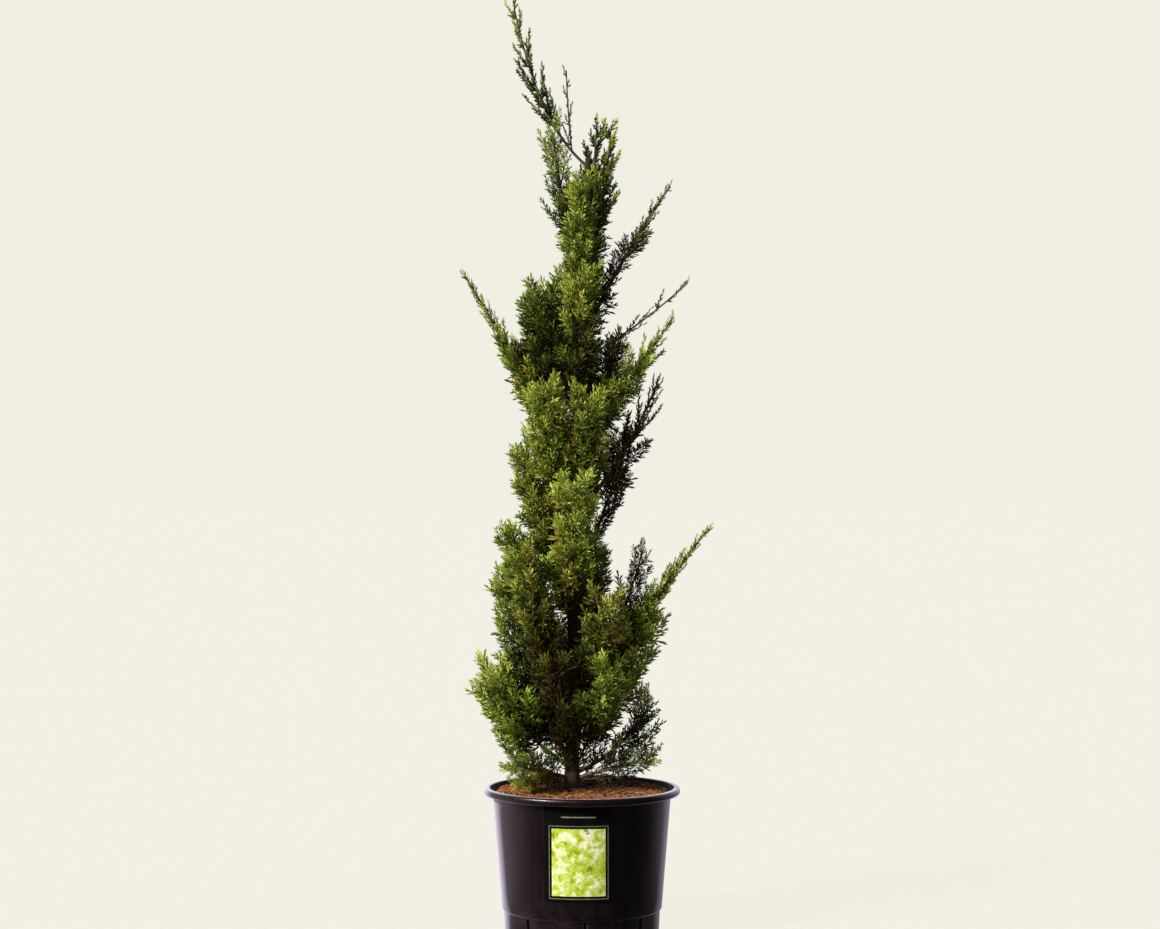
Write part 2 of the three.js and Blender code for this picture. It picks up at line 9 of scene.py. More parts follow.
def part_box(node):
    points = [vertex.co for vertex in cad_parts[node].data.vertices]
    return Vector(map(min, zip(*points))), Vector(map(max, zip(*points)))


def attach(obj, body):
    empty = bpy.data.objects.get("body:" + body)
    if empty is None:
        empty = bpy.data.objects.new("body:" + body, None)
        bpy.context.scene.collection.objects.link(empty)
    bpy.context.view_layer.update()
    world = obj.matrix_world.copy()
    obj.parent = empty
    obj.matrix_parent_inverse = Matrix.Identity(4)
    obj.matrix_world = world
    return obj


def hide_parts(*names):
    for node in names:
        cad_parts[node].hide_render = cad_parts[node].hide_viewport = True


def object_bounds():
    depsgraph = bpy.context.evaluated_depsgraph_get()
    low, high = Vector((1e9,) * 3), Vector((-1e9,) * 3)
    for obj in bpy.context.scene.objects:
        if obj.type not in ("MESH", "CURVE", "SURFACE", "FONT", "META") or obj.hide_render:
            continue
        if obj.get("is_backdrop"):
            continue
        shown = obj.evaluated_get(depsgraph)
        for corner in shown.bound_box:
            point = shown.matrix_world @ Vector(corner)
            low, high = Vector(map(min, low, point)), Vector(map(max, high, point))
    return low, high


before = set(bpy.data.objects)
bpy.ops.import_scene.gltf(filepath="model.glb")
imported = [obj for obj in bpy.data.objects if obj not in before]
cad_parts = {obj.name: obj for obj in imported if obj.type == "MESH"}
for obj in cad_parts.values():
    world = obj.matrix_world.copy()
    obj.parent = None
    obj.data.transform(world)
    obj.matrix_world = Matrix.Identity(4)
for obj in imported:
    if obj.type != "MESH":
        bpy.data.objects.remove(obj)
cad_low, cad_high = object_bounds()


# Nursery pot: a thin black plastic tub, moulded in one piece with a rolled rim, a stepped foot and eight
# drainage slots through the foot. It stands free on its flat underside and carries everything else.
pot_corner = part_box("pot")[1]
POT_HEIGHT = pot_corner.z
RIM_RADIUS = pot_corner.x
RIM_DEPTH = 0.011
RIM_ROUND = 0.0045
MOUTH_RADIUS = 0.140
MOUTH_ROUND = 0.0022
POT_WALL = 0.0022
SHOULDER_RADIUS = 0.136
SHOULDER = POT_HEIGHT - RIM_DEPTH
SHOULDER_FILLET = ((0.001, -0.001), (0.003, 0))
STEP_HEIGHT = 0.036
STEP_RADIUS = 0.122
STEP_DEPTH = 0.0025
STEP_EDGE = ((-STEP_DEPTH, -0.0018), (-0.0008, -0.0004))
WALL_HEIGHTS = np.linspace(STEP_HEIGHT + 0.001, SHOULDER - 0.004, 9)
INSIDE_BEND = 0.12
FOOT_RADIUS = 0.1175
FOOT_ROUND = 0.0015
UNDERSIDE_RADII = (0, 0.06, FOOT_RADIUS - 0.014)
POT_FLOOR = 0.003
POT_STEPS = 144
SLOT_COUNT = 8
SLOT_HEIGHTS = (0.004, 0.014, 0.024, 0.033)
SLOT_TURN = math.radians(-87.5)
SLOT_HALF_TURN = math.radians(1.3)
SLOT_INSIDE = FOOT_RADIUS - 0.006
SLOT_SLACK = 1e-4
SAME_PLACE = 1e-6
MOULDED_CREASE = 35
PLASTIC = (0.0055, 0.0012, 0.0032, 1)
POT_DUST = (0.06, 0.045, 0.04, 1)
# Dark of the painted shade on the pot's inner wall above the compost.
POT_MOUTH_SHADE = (0.014, 0.0075, 0.006, 1)
# Pale lavender of the painted sheen, where the wall is seen edge on.
POT_PAINTED_SHEEN = (0.66, 0.61, 0.84, 1)
MOUTH_SHADE_ROUGHNESS = 0.55
# Each of these gives a value's low and high, then what they turn into.
FOOT_DUST = (0.07, 0.004, 0.03, 0.7)
RIM_DUST = (0.196, 0.222, 0.0, 0.12)
INSIDE_MOUTH = (0.1403, 0.1413, 1, 0)
ABOVE_WALL = (0.2075, 0.2095, 0, 1)
PAINTED_SHEEN_EDGE_ON = (0.62, 0.95, 0, 0.85)
STREAK_ROUGHNESS = (0.3, 0.7, 0.26, 0.4)
DUST_FADE = 0.35
DUST_GRAIN_SCALE = 1400
STREAK_SCALE = 170
STREAK_DRAWN = (1, 1, 0.05)


def wall_radius(height):
    """Outside radius of the pot's wall at a height above its step."""
    share = (height - STEP_HEIGHT) / (SHOULDER - STEP_HEIGHT)
    return STEP_RADIUS + (SHOULDER_RADIUS - STEP_RADIUS) * share


def foot_radius(height):
    """Outside radius of the pot's foot at a height below its step."""
    return FOOT_RADIUS + (STEP_RADIUS - STEP_DEPTH - FOOT_RADIUS) * height / STEP_HEIGHT


def round_edge(radius, height, bend, start, end, steps=6):
    """Points (radius, height) along a rounded edge, from one angle in degrees to another."""
    turns = np.radians(np.linspace(start, end, steps))
    return [(radius + bend * math.cos(turn), height + bend * math.sin(turn)) for turn in turns]


def turned(outline, steps, first_turn=0.0):
    """A closed shape turned about the upright axis from an outline of (radius, height) points."""
    shape = bmesh.new()
    corners = [shape.verts.new((radius, 0, height)) for radius, height in outline]
    edges = [shape.edges.new(pair) for pair in zip(corners, corners[1:])]
    bmesh.ops.rotate(shape, verts=corners, cent=(0, 0, 0), matrix=Matrix.Rotation(first_turn, 3, "Z"))
    bmesh.ops.spin(
        shape, geom=corners + edges, cent=(0, 0, 0), axis=(0, 0, 1),
        angle=math.tau, steps=steps, use_merge=True, use_duplicate=False,
    )
    bmesh.ops.remove_doubles(shape, verts=shape.verts[:], dist=SAME_PLACE)
    bmesh.ops.recalc_face_normals(shape, faces=shape.faces[:])
    return shape


def seat(name, mesh, finish, slot, *nodes):
    """Seats a finished mesh in the frame, in place of the CAD nodes named."""
    mesh.materials.append(finish)
    piece = bpy.data.objects.new(name, mesh)
    bpy.context.collection.objects.link(piece)
    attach(piece, "root")
    if nodes:
        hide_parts(*nodes)


def smooth_mesh(name, shape, sharp_from):
    """A mesh from a bmesh, smooth apart from edges sharper than an angle in degrees."""
    mesh = bpy.data.meshes.new(name)
    shape.to_mesh(mesh)
    shape.free()
    mesh.shade_smooth()
    mesh.set_sharp_from_angle(angle=math.radians(sharp_from))
    return mesh


def feed(tree, node, values):
    """Gives a node's inputs a value or another node's output each."""
    for socket, value in values.items():
        if isinstance(value, bpy.types.NodeSocket):
            tree.links.new(value, node.inputs[socket])
        else:
            node.inputs[socket].default_value = value


def add(tree, kind, inputs=None, **settings):
    """Adds a node to a finish, with its settings and inputs."""
    made = tree.nodes.new("ShaderNode" + kind)
    for name, value in settings.items():
        setattr(made, name, value)
    feed(tree, made, inputs or {})
    return made


def ranged(tree, value, low, high, to_low, to_high):
    """A value carried from one range to another."""
    inputs = {0: value, 1: low, 2: high, 3: to_low, 4: to_high}
    return add(tree, "MapRange", inputs).outputs[0]


def computed(tree, operation, *values):
    """The result of a sum on values or other nodes' outputs."""
    return add(tree, "Math", dict(enumerate(values)), operation=operation).outputs[0]


def mixed(tree, share, first, second):
    """A colour between two colours."""
    return add(tree, "Mix", {0: share, 6: first, 7: second}, data_type="RGBA").outputs[2]


def new_finish(name, roughness):
    """An empty finish with its shader."""
    finish = bpy.data.materials.new(name)
    finish.use_nodes = True
    shader = finish.node_tree.nodes["Principled BSDF"]
    shader.inputs["Roughness"].default_value = roughness
    return finish, finish.node_tree, shader


def new_effect(name, inputs, outputs):
    """A shared effect: a shader group with numbers in and numbers out."""
    group = bpy.data.node_groups.new(name, "ShaderNodeTree")
    for socket in inputs:
        group.interface.new_socket(socket, in_out="INPUT", socket_type="NodeSocketFloat")
    for socket in outputs:
        group.interface.new_socket(socket, in_out="OUTPUT", socket_type="NodeSocketFloat")
    return group, group.nodes.new("NodeGroupInput"), group.nodes.new("NodeGroupOutput")


def bumped(tree, shader, height, strength, distance):
    """Feeds a height to the shader's normal."""
    bump = add(tree, "Bump", {"Strength": strength, "Distance": distance, "Height": height})
    feed(tree, shader, {"Normal": bump.outputs["Normal"]})


dusting, dust_in, dust_out = new_effect("dusting", ("Scale", "Cover"), ("Mask", "Grain"))
dust_place = add(dusting, "TexCoord").outputs["Object"]
dust_inputs = {"Vector": dust_place, "Scale": dust_in.outputs["Scale"], "Detail": 6, "Roughness": 0.62}
dust_patches = add(dusting, "TexNoise", dust_inputs).outputs[0]
dust_bare = computed(dusting, "SUBTRACT", 1.0, dust_in.outputs["Cover"])
dust_full = computed(dusting, "ADD", dust_bare, DUST_FADE)
dust_mask = ranged(dusting, dust_patches, dust_bare, dust_full, 0, 1)
grain_inputs = {"Vector": dust_place, "Scale": DUST_GRAIN_SCALE, "Detail": 2}
dust_grain = add(dusting, "TexNoise", grain_inputs).outputs[0]
feed(dusting, dust_out, {"Mask": dust_mask, "Grain": dust_grain})

pot_finish, pot_tree, pot_shader = new_finish("black_pot_plastic", 0.4)
pot_place = add(pot_tree, "TexCoord").outputs["Object"]
pot_rise = add(pot_tree, "SeparateXYZ", {0: pot_place}).outputs["Z"]
pot_dust = add(pot_tree, "Group", {"Scale": 38, "Cover": 0.55}, node_tree=dusting)
foot_dust = ranged(pot_tree, pot_rise, *FOOT_DUST)
dusty = computed(pot_tree, "ADD", foot_dust, ranged(pot_tree, pot_rise, *RIM_DUST))
pot_cover = computed(pot_tree, "MULTIPLY", dusty, pot_dust.outputs["Mask"])
streak_place = add(pot_tree, "Mapping", {"Vector": pot_place, "Scale": STREAK_DRAWN}).outputs[0]
streaks = add(pot_tree, "TexNoise", {"Vector": streak_place, "Scale": STREAK_SCALE, "Detail": 4}).outputs[0]
pot_flat = add(pot_tree, "VectorMath", {0: pot_place, 1: (1, 1, 0)}, operation="MULTIPLY").outputs[0]
pot_reach = add(pot_tree, "VectorMath", {0: pot_flat}, operation="LENGTH").outputs["Value"]
# Painted shade: the inner wall above the compost is painted near black and made rougher.
in_mouth = ranged(pot_tree, pot_reach, *INSIDE_MOUTH)
painted_mouth_shade = computed(pot_tree, "MULTIPLY", in_mouth, ranged(pot_tree, pot_rise, *ABOVE_WALL))
# Painted sheen: a pale lavender is mixed into the base colour where the wall is seen edge on, standing in for
# the bright studio reflected at a glancing angle.
edge_on = add(pot_tree, "LayerWeight", {"Blend": 0.5}).outputs["Facing"]
painted_sheen = ranged(pot_tree, edge_on, *PAINTED_SHEEN_EDGE_ON)
pot_colour = mixed(pot_tree, painted_sheen, mixed(pot_tree, pot_cover, PLASTIC, POT_DUST), POT_PAINTED_SHEEN)
pot_colour = mixed(pot_tree, painted_mouth_shade, pot_colour, POT_MOUTH_SHADE)
pot_sheen = ranged(pot_tree, streaks, *STREAK_ROUGHNESS)
pot_rough = computed(pot_tree, "MULTIPLY_ADD", painted_mouth_shade, MOUTH_SHADE_ROUGHNESS, pot_sheen)
feed(pot_tree, pot_shader, {"Base Color": pot_colour, "Roughness": pot_rough, "Specular IOR Level": 0.5})
bumped(pot_tree, pot_shader, computed(pot_tree, "ADD", pot_dust.outputs["Grain"], streaks), 0.03, 0.0006)

pot_outline = [(radius, 0) for radius in UNDERSIDE_RADII]
pot_outline += round_edge(FOOT_RADIUS - FOOT_ROUND, FOOT_ROUND, FOOT_ROUND, -90, 0, 4)
pot_outline += [(foot_radius(height), height) for height in SLOT_HEIGHTS]
pot_outline += [(STEP_RADIUS + out, STEP_HEIGHT + up) for out, up in STEP_EDGE]
pot_outline += [(wall_radius(height), height) for height in WALL_HEIGHTS]
pot_outline += [(SHOULDER_RADIUS + out, SHOULDER + up) for out, up in SHOULDER_FILLET]
pot_outline += round_edge(RIM_RADIUS - RIM_ROUND, SHOULDER + RIM_ROUND, RIM_ROUND, -90, 0)
pot_outline += round_edge(RIM_RADIUS - RIM_ROUND, POT_HEIGHT - RIM_ROUND, RIM_ROUND, 0, 90)
pot_outline += round_edge(MOUTH_RADIUS + MOUTH_ROUND, POT_HEIGHT - MOUTH_ROUND, MOUTH_ROUND, 90, 180, 4)
pot_outline += [(SHOULDER_RADIUS - POT_WALL, SHOULDER), (wall_radius(INSIDE_BEND) - POT_WALL, INSIDE_BEND)]
pot_outline += [(STEP_RADIUS - STEP_DEPTH - POT_WALL, STEP_HEIGHT)]
pot_outline += [(foot_radius(height) - POT_WALL, height) for height in reversed(SLOT_HEIGHTS)]
pot_outline += [(UNDERSIDE_RADII[1], POT_FLOOR), (0, POT_FLOOR)]
pot_shape = turned(pot_outline, POT_STEPS, math.pi / POT_STEPS)


def slot_number(point):
    """Which drainage slot a point of the foot lies in, or None."""
    turn = (math.atan2(point.y, point.x) - SLOT_TURN) / math.tau * SLOT_COUNT
    off = abs(turn - round(turn)) * math.tau / SLOT_COUNT
    outside = math.hypot(point.x, point.y) > SLOT_INSIDE
    in_height = SLOT_HEIGHTS[0] - SLOT_SLACK < point.z < SLOT_HEIGHTS[-1] + SLOT_SLACK
    return round(turn) % SLOT_COUNT if off < SLOT_HALF_TURN and outside and in_height else None


slot_faces = [face for face in pot_shape.faces if slot_number(face.calc_center_median()) is not None]
bmesh.ops.delete(pot_shape, geom=slot_faces, context="FACES")
slot_edges = {}
for edge in pot_shape.edges:
    if edge.is_boundary:
        slot_edges.setdefault(slot_number((edge.verts[0].co + edge.verts[1].co) / 2), []).append(edge)
for edges in slot_edges.values():
    bmesh.ops.bridge_loops(pot_shape, edges=edges)
bmesh.ops.recalc_face_normals(pot_shape, faces=pot_shape.faces[:])
seat("nursery_pot", smooth_mesh("nursery_pot", pot_shape, MOULDED_CREASE), pot_finish, "pot", "pot")


# Compost: orange-brown coir and bark fines that fill the pot and rise a little towards the trunk.
# A lumpy bed carries loose chips and fibres that lie on it as they were tipped in.
GROUND = 0.217
SOIL_EDGE = 0.213
SOIL_FLAT_RADIUS = 0.042
SEAT_GAP = 0.0003
COIR = (0.42, 0.15, 0.034, 1)
COIR_DARK = (0.055, 0.022, 0.011, 1)
LOW_COIR = (0.006, 0.004, 0.003, 1)
# Painted shade: the compost, chips and fibres darken round a point near the trunk, where the crown shades
# them.
SHADED_COIR = (0.02, 0.01, 0.007, 1)
SHADE_MIDDLE = (0.012, 0.045, GROUND)
SHADE_RADIUS = 0.07
LIT_RADIUS = 0.125
SHADE_DEPTH = 0.85
DARK_BELOW = 0.2
DARK_FADE = 0.02
BED_GRAIN = 190
BED_RINGS = 40
BED_SPOKES = 120
LUMP_GRAIN = 70
LUMP_NOISE = (0.8, 2.0, 4)
LUMP_HEIGHT = 0.0022
LUMP_START = 0.02
LUMP_MARGIN = 0.002
LUMPS_ABOVE = STEP_HEIGHT + 0.01
SOFT_CREASE = 60
CRUMB_SHADES = (0.32, 0.68, 0, 1)
CRUMB_ROUGHNESS = (0, 1, 0.95, 0.78)
soil_radius = wall_radius(SOIL_EDGE) - POT_WALL - STEP_DEPTH - SEAT_GAP


def ground_height(radius):
    """Height of the compost's surface at a distance from the middle, before its lumps."""
    share = min(max((radius - SOIL_FLAT_RADIUS) / (soil_radius - SOIL_FLAT_RADIUS), 0), 1)
    return GROUND + (SOIL_EDGE - GROUND) * share


crumbs, crumb_in, crumb_out = new_effect("crumbs", ("Scale",), ("Shade", "Relief"))
crumb_place = add(crumbs, "TexCoord").outputs["Object"]
crumb_size = crumb_in.outputs["Scale"]
crumb_cells = add(crumbs, "TexVoronoi", {"Vector": crumb_place, "Scale": crumb_size})
crumb_noise = add(crumbs, "TexNoise", {"Vector": crumb_place, "Scale": crumb_size, "Detail": 5}).outputs[0]
crumb_shade = ranged(crumbs, crumb_noise, *CRUMB_SHADES)
feed(crumbs, crumb_out, {"Shade": crumb_shade, "Relief": crumb_cells.outputs["Distance"]})


def crumbly_finish(name, dark, light, scale, dark_below=0.0):
    """A crumbly finish between two colours, painted in shade under the crown and darker below a height."""
    finish, tree, shader = new_finish(name, 0.9)
    grain = add(tree, "Group", {"Scale": scale}, node_tree=crumbs)
    colour = mixed(tree, grain.outputs["Shade"], dark, light)
    place = add(tree, "TexCoord").outputs["Object"]
    # Painted shade under the crown, fading out towards the pot's wall.
    off_shade = add(tree, "VectorMath", {0: place, 1: SHADE_MIDDLE}, operation="DISTANCE").outputs["Value"]
    painted_shade = ranged(tree, off_shade, SHADE_RADIUS, LIT_RADIUS, SHADE_DEPTH, 0)
    colour = mixed(tree, painted_shade, colour, SHADED_COIR)
    if dark_below:
        # The compost turns darker below a height.
        rise = add(tree, "SeparateXYZ", {0: place}).outputs["Z"]
        low_dark = ranged(tree, rise, dark_below, dark_below - DARK_FADE, 0, 1)
        colour = mixed(tree, low_dark, colour, LOW_COIR)
    rough = ranged(tree, grain.outputs["Shade"], *CRUMB_ROUGHNESS)
    feed(tree, shader, {"Base Color": colour, "Roughness": rough, "Specular IOR Level": 0.2})
    bumped(tree, shader, grain.outputs["Relief"], 0.5, 0.001)
    return finish


soil_foot = foot_radius(SLOT_HEIGHTS[0]) - POT_WALL - STEP_DEPTH
soil_outline = [(0, POT_FLOOR + SEAT_GAP), (soil_foot, POT_FLOOR + SEAT_GAP)]
soil_outline += [(wall_radius(STEP_HEIGHT) - POT_WALL - STEP_DEPTH - SEAT_GAP, STEP_HEIGHT)]
soil_outline += [(radius, ground_height(radius)) for radius in np.linspace(soil_radius, 0, BED_RINGS)]
soil_shape = turned(soil_outline, BED_SPOKES)
for vert in soil_shape.verts:
    radius = math.hypot(vert.co.x, vert.co.y)
    if vert.co.z > LUMPS_ABOVE and radius < soil_radius - LUMP_MARGIN:
        lump = noise.fractal(vert.co * LUMP_GRAIN, *LUMP_NOISE)
        vert.co.z += LUMP_HEIGHT * lump * min(1, radius / LUMP_START)
compost_finish = crumbly_finish("coir_compost", COIR_DARK, COIR, BED_GRAIN, DARK_BELOW)
seat("compost", smooth_mesh("compost", soil_shape, SOFT_CREASE), compost_finish, "compost", "soil")


# Chips: splinters of bark in three colours, from orange to straw, that lie loose on the compost where they
# fell. Each is a flat four-sided sliver, and they share the compost's painted shade under the crown.
CHIP_COUNT = 2600
CHIP_SEED = 901
CHIP_GRAIN = 420
CHIP_MARGIN = 0.004
CHIP_CLEAR = 0.015
CHIP_TILT = 0.5
CHIP_ROLL = 0.7
CHIP_ROLL_RISE = 0.6
# These pairs, and those of the sections below that go to from_least, are the least and what chance adds.
CHIP_LIFT = (0.0005, 0.002)
CHIP_LENGTHS = (0.0025, 0.008)
CHIP_WIDTHS = (0.0010, 0.0018)
CHIP_DEPTHS = (0.0006, 0.0010)
CHIP_FINISHES = (
    ("orange_chips", (0.24, 0.08, 0.018, 1), (0.46, 0.185, 0.045, 1), 0.0, 0.6),
    ("brown_chips", (0.06, 0.022, 0.009, 1), (0.17, 0.066, 0.024, 1), 0.6, 0.9),
    ("straw_chips", (0.26, 0.15, 0.07, 1), (0.5, 0.33, 0.17, 1), 0.9, 1.01),
)


def random_run(seed):
    """Repeatable random numbers from 0 to 1, a separate run for each seed."""
    state = (seed * 2654435761) % 4294967296
    while True:
        state = (state * 1664525 + 1013904223) % 4294967296
        yield state / 4294967296


def arrays_of(shape):
    """The corners and triangles of a small bmesh, for laying out many of it."""
    bmesh.ops.triangulate(shape, faces=shape.faces[:])
    shape.verts.ensure_lookup_table()
    corners = np.array([vert.co[:] for vert in shape.verts])
    triangles = np.array([[vert.index for vert in face.verts] for face in shape.faces])
    shape.free()
    return corners, triangles


def unit(vectors):
    """Vectors of length one."""
    return vectors / np.maximum(np.linalg.norm(vectors, axis=-1, keepdims=True), 1e-12)


def laid_out(pattern, places, across, along, sizes):
    """Corners and triangles of one small pattern, set down at many places with their own directions."""
    corners, triangles = pattern
    across = unit(across - along * np.sum(across * along, axis=1, keepdims=True))
    through = np.cross(across, along)
    axes = np.stack([across, along, through], axis=1) * sizes[:, :, None]
    points = places[:, None, :] + np.einsum("vk,nkd->nvd", corners, axes)
    numbers = triangles[None] + (np.arange(len(places)) * len(corners))[:, None, None]
    return points.reshape(-1, 3), numbers.reshape(-1, 3)


def joined_mesh(name, groups, smooth=False):
    """One mesh from many groups of corners and triangles."""
    starts = np.cumsum([0] + [len(points) for points, _ in groups])
    points = np.concatenate([points for points, _ in groups])
    triangles = np.concatenate([numbers + start for (_, numbers), start in zip(groups, starts)])
    mesh = bpy.data.meshes.new(name)
    mesh.vertices.add(len(points))
    mesh.vertices.foreach_set("co", points.astype(np.float32).ravel())
    mesh.loops.add(triangles.size)
    mesh.loops.foreach_set("vertex_index", triangles.astype(np.int32).ravel())
    mesh.polygons.add(len(triangles))
    mesh.polygons.foreach_set("loop_start", np.arange(0, triangles.size, 3, dtype=np.int32))
    mesh.polygons.foreach_set("use_smooth", np.full(len(triangles), smooth))
    mesh.update(calc_edges=True)
    mesh.validate()
    return mesh


def chip_pattern():
    """A splinter of bark one unit long: a four-sided sliver that thins towards one end."""
    shape = bmesh.new()
    made = bmesh.ops.create_cone(
        shape, cap_ends=True, segments=4, radius1=0.7, radius2=0.35, depth=1.0,
        matrix=Matrix.Rotation(math.pi / 2, 4, "X"),
    )
    bmesh.ops.translate(shape, verts=made["verts"], vec=(0, 0, 0.25))
    return arrays_of(shape)


def spread_out(chances, margin, clear):
    """Distances from the middle that strew things evenly over the bed, clear of its wall and its middle."""
    return (soil_radius - margin) * np.sqrt(clear + (1 - clear) * chances)


def from_least(range_of, chances):
    """Values from the least of a range up, by chances from 0 to 1."""
    least, spread = range_of
    return least + spread * chances


chip_random = random_run(CHIP_SEED)
chips = np.array([[next(chip_random) for _ in range(10)] for _ in range(CHIP_COUNT)])
chip_radius = spread_out(chips[:, 0], CHIP_MARGIN, CHIP_CLEAR)
chip_turn = chips[:, 1] * math.tau
chip_height = np.array([ground_height(radius) for radius in chip_radius]) + from_least(CHIP_LIFT, chips[:, 2])
chip_x, chip_y = chip_radius * np.cos(chip_turn), chip_radius * np.sin(chip_turn)
chip_places = np.stack([chip_x, chip_y, chip_height], axis=1)
chip_along = unit(np.stack([chips[:, 3] - 0.5, chips[:, 4] - 0.5, CHIP_TILT * (chips[:, 5] - 0.5)], axis=1))
chip_across = np.stack([chips[:, 6] - 0.5, chips[:, 7] - 0.5, CHIP_ROLL_RISE * (chips[:, 6] - 0.5)], axis=1)
chip_across = np.cross(chip_along, [0, 0, 1]) + CHIP_ROLL * chip_across
chip_shapes = ((CHIP_WIDTHS, chips[:, 9]), (CHIP_LENGTHS, chips[:, 8] ** 2), (CHIP_DEPTHS, chips[:, 2]))
chip_sizes = np.stack([from_least(sizes, chances) for sizes, chances in chip_shapes], axis=1)
for name, dark, light, first, last in CHIP_FINISHES:
    chosen = (chips[:, 7] >= first) & (chips[:, 7] < last)
    group = laid_out(
        chip_pattern(), chip_places[chosen], chip_across[chosen], chip_along[chosen], chip_sizes[chosen]
    )
    seat(name, joined_mesh(name, [group]), crumbly_finish(name, dark, light, CHIP_GRAIN), "compost")


# Coir fibres: short light brown hairs of coconut husk, curled and arched, that lie loose among the chips.
# Each is a thin closed tube.
FIBRE_COUNT = 420
FIBRE_POINTS = 6
FIBRE_SEED = 902
FIBRE_GRAIN = 300
FIBRE_MARGIN = 0.014
FIBRE_CLEAR = 0.02
FIBRE_CURL = 2.4
FIBRE_HALVES = (0.006, 0.010)
FIBRE_LIFT = 0.0018
FIBRE_ARCH = 0.0022
FIBRE_TUBE_RADIUS = 0.00045
STEEP = 0.8
FIBRE_DARK = (0.2, 0.085, 0.03, 1)
FIBRE_LIGHT = (0.42, 0.22, 0.09, 1)


def thin_tubes(paths, radii, sides=3):
    """Corners and triangles of many thin closed tubes, from the points of their paths and the radii there."""
    count, steps, _ = paths.shape
    along = unit(np.gradient(paths, axis=1))
    aside = np.where(np.abs(along[..., 2:3]) > STEEP, [[[1.0, 0, 0]]], [[[0, 0, 1.0]]])
    first = unit(np.cross(along, aside))
    second = np.cross(along, first)
    turns = np.arange(sides) * math.tau / sides
    ring = first[:, :, None] * np.cos(turns)[:, None] + second[:, :, None] * np.sin(turns)[:, None]
    points = paths[:, :, None] + ring * radii[:, :, None, None]
    number = np.arange(steps * sides).reshape(steps, sides)
    low, high = number[:-1], number[1:]
    low_next, high_next = np.roll(low, -1, axis=1), np.roll(high, -1, axis=1)
    halves = ((low, low_next, high_next), (low, high_next, high))
    walls = [np.stack(corners, axis=-1).reshape(-1, 3) for corners in halves]
    fan = np.array([[0, step + 1, step] for step in range(1, sides - 1)])
    ends = [fan, fan[:, ::-1] + (steps - 1) * sides]
    triangles = np.concatenate(walls + ends)
    numbers = triangles[None] + (np.arange(count) * steps * sides)[:, None, None]
    return points.reshape(-1, 3), numbers.reshape(-1, 3)


fibre_random = random_run(FIBRE_SEED)
fibres = np.array([[next(fibre_random) for _ in range(6)] for _ in range(FIBRE_COUNT)])
fibre_radius = spread_out(fibres[:, :1], FIBRE_MARGIN, FIBRE_CLEAR)
fibre_turn = fibres[:, 1:2] * math.tau
fibre_share = np.linspace(-1, 1, FIBRE_POINTS)
fibre_bend = fibres[:, 2:3] * math.tau + (fibres[:, 3:4] - 0.5) * FIBRE_CURL * fibre_share
fibre_half = from_least(FIBRE_HALVES, fibres[:, 4:5]) * fibre_share
fibre_x = fibre_radius * np.cos(fibre_turn) + fibre_half * np.cos(fibre_bend)
fibre_y = fibre_radius * np.sin(fibre_turn) + fibre_half * np.sin(fibre_bend)
fibre_ground = np.vectorize(ground_height)(np.hypot(fibre_x, fibre_y))
fibre_z = fibre_ground + FIBRE_LIFT + FIBRE_ARCH * fibres[:, 5:6] * (1 - fibre_share**2)
fibre_paths = np.stack([fibre_x, fibre_y, fibre_z], axis=2)
fibre_tubes = thin_tubes(fibre_paths, np.full(fibre_paths.shape[:2], FIBRE_TUBE_RADIUS))
fibre_finish = crumbly_finish("coir_fibres", FIBRE_DARK, FIBRE_LIGHT, FIBRE_GRAIN)
seat("coir_fibres", joined_mesh("coir_fibres", [fibre_tubes], True), fibre_finish, "compost")


# Label card: a thin black laminated card that hangs on the front of the pot and follows its wall. A panel
# printed with leafy greens sits inside a fine frame line, with a short plain rule above it.
CARD_WIDTH = 0.105
CARD_TOP = 0.2085
CARD_LENGTH = 0.144
CARD_THICKNESS = 0.0008
CARD_TURN = math.radians(-92.3)
PANEL_WIDTH = 0.081
PANEL_TOP = 0.1745
PANEL_LENGTH = 0.101
FRAME_MARGIN = 0.0045
FRAME_LINE = 0.0011
RULE_WIDTH = 0.052
RULE_TOP = PANEL_TOP + 0.0185
RULE_LENGTH = 0.0019
PRINT_STEP = 0.00012
PRINT_PROUD = CARD_THICKNESS + PRINT_STEP
SHEET_CELLS = 28
LAMINATE = (0.0032, 0.003, 0.0032, 1)
LAMINATE_DUSTY = (0.0062, 0.0058, 0.0058, 1)
LAMINATE_ROUGHNESS = (0, 1, 0.34, 0.5)
LINE_DARK = (0.16, 0.165, 0.12, 1)
LINE_LIGHT = (0.27, 0.275, 0.2, 1)
LEAF_PRINT = (0.47, 0.6, 0.02, 1)
PALE_PRINT = (0.95, 0.95, 0.7, 1)
OLIVE_PRINT = (0.17, 0.23, 0.02, 1)
DARK_PRINT = (0.03, 0.04, 0.01, 1)
PALE_BLOTS = (0.47, 0.6, 0.0, 1.0)
OLIVE_BLOTS = (0.44, 0.36, 0.0, 1.0)
DARK_FLECKS = (0.66, 0.74, 0.0, 0.9)
PANEL_ROUGHNESS = (0.3, 0.7, 0.38, 0.5)
PRINT_RELIEF = 0.0002


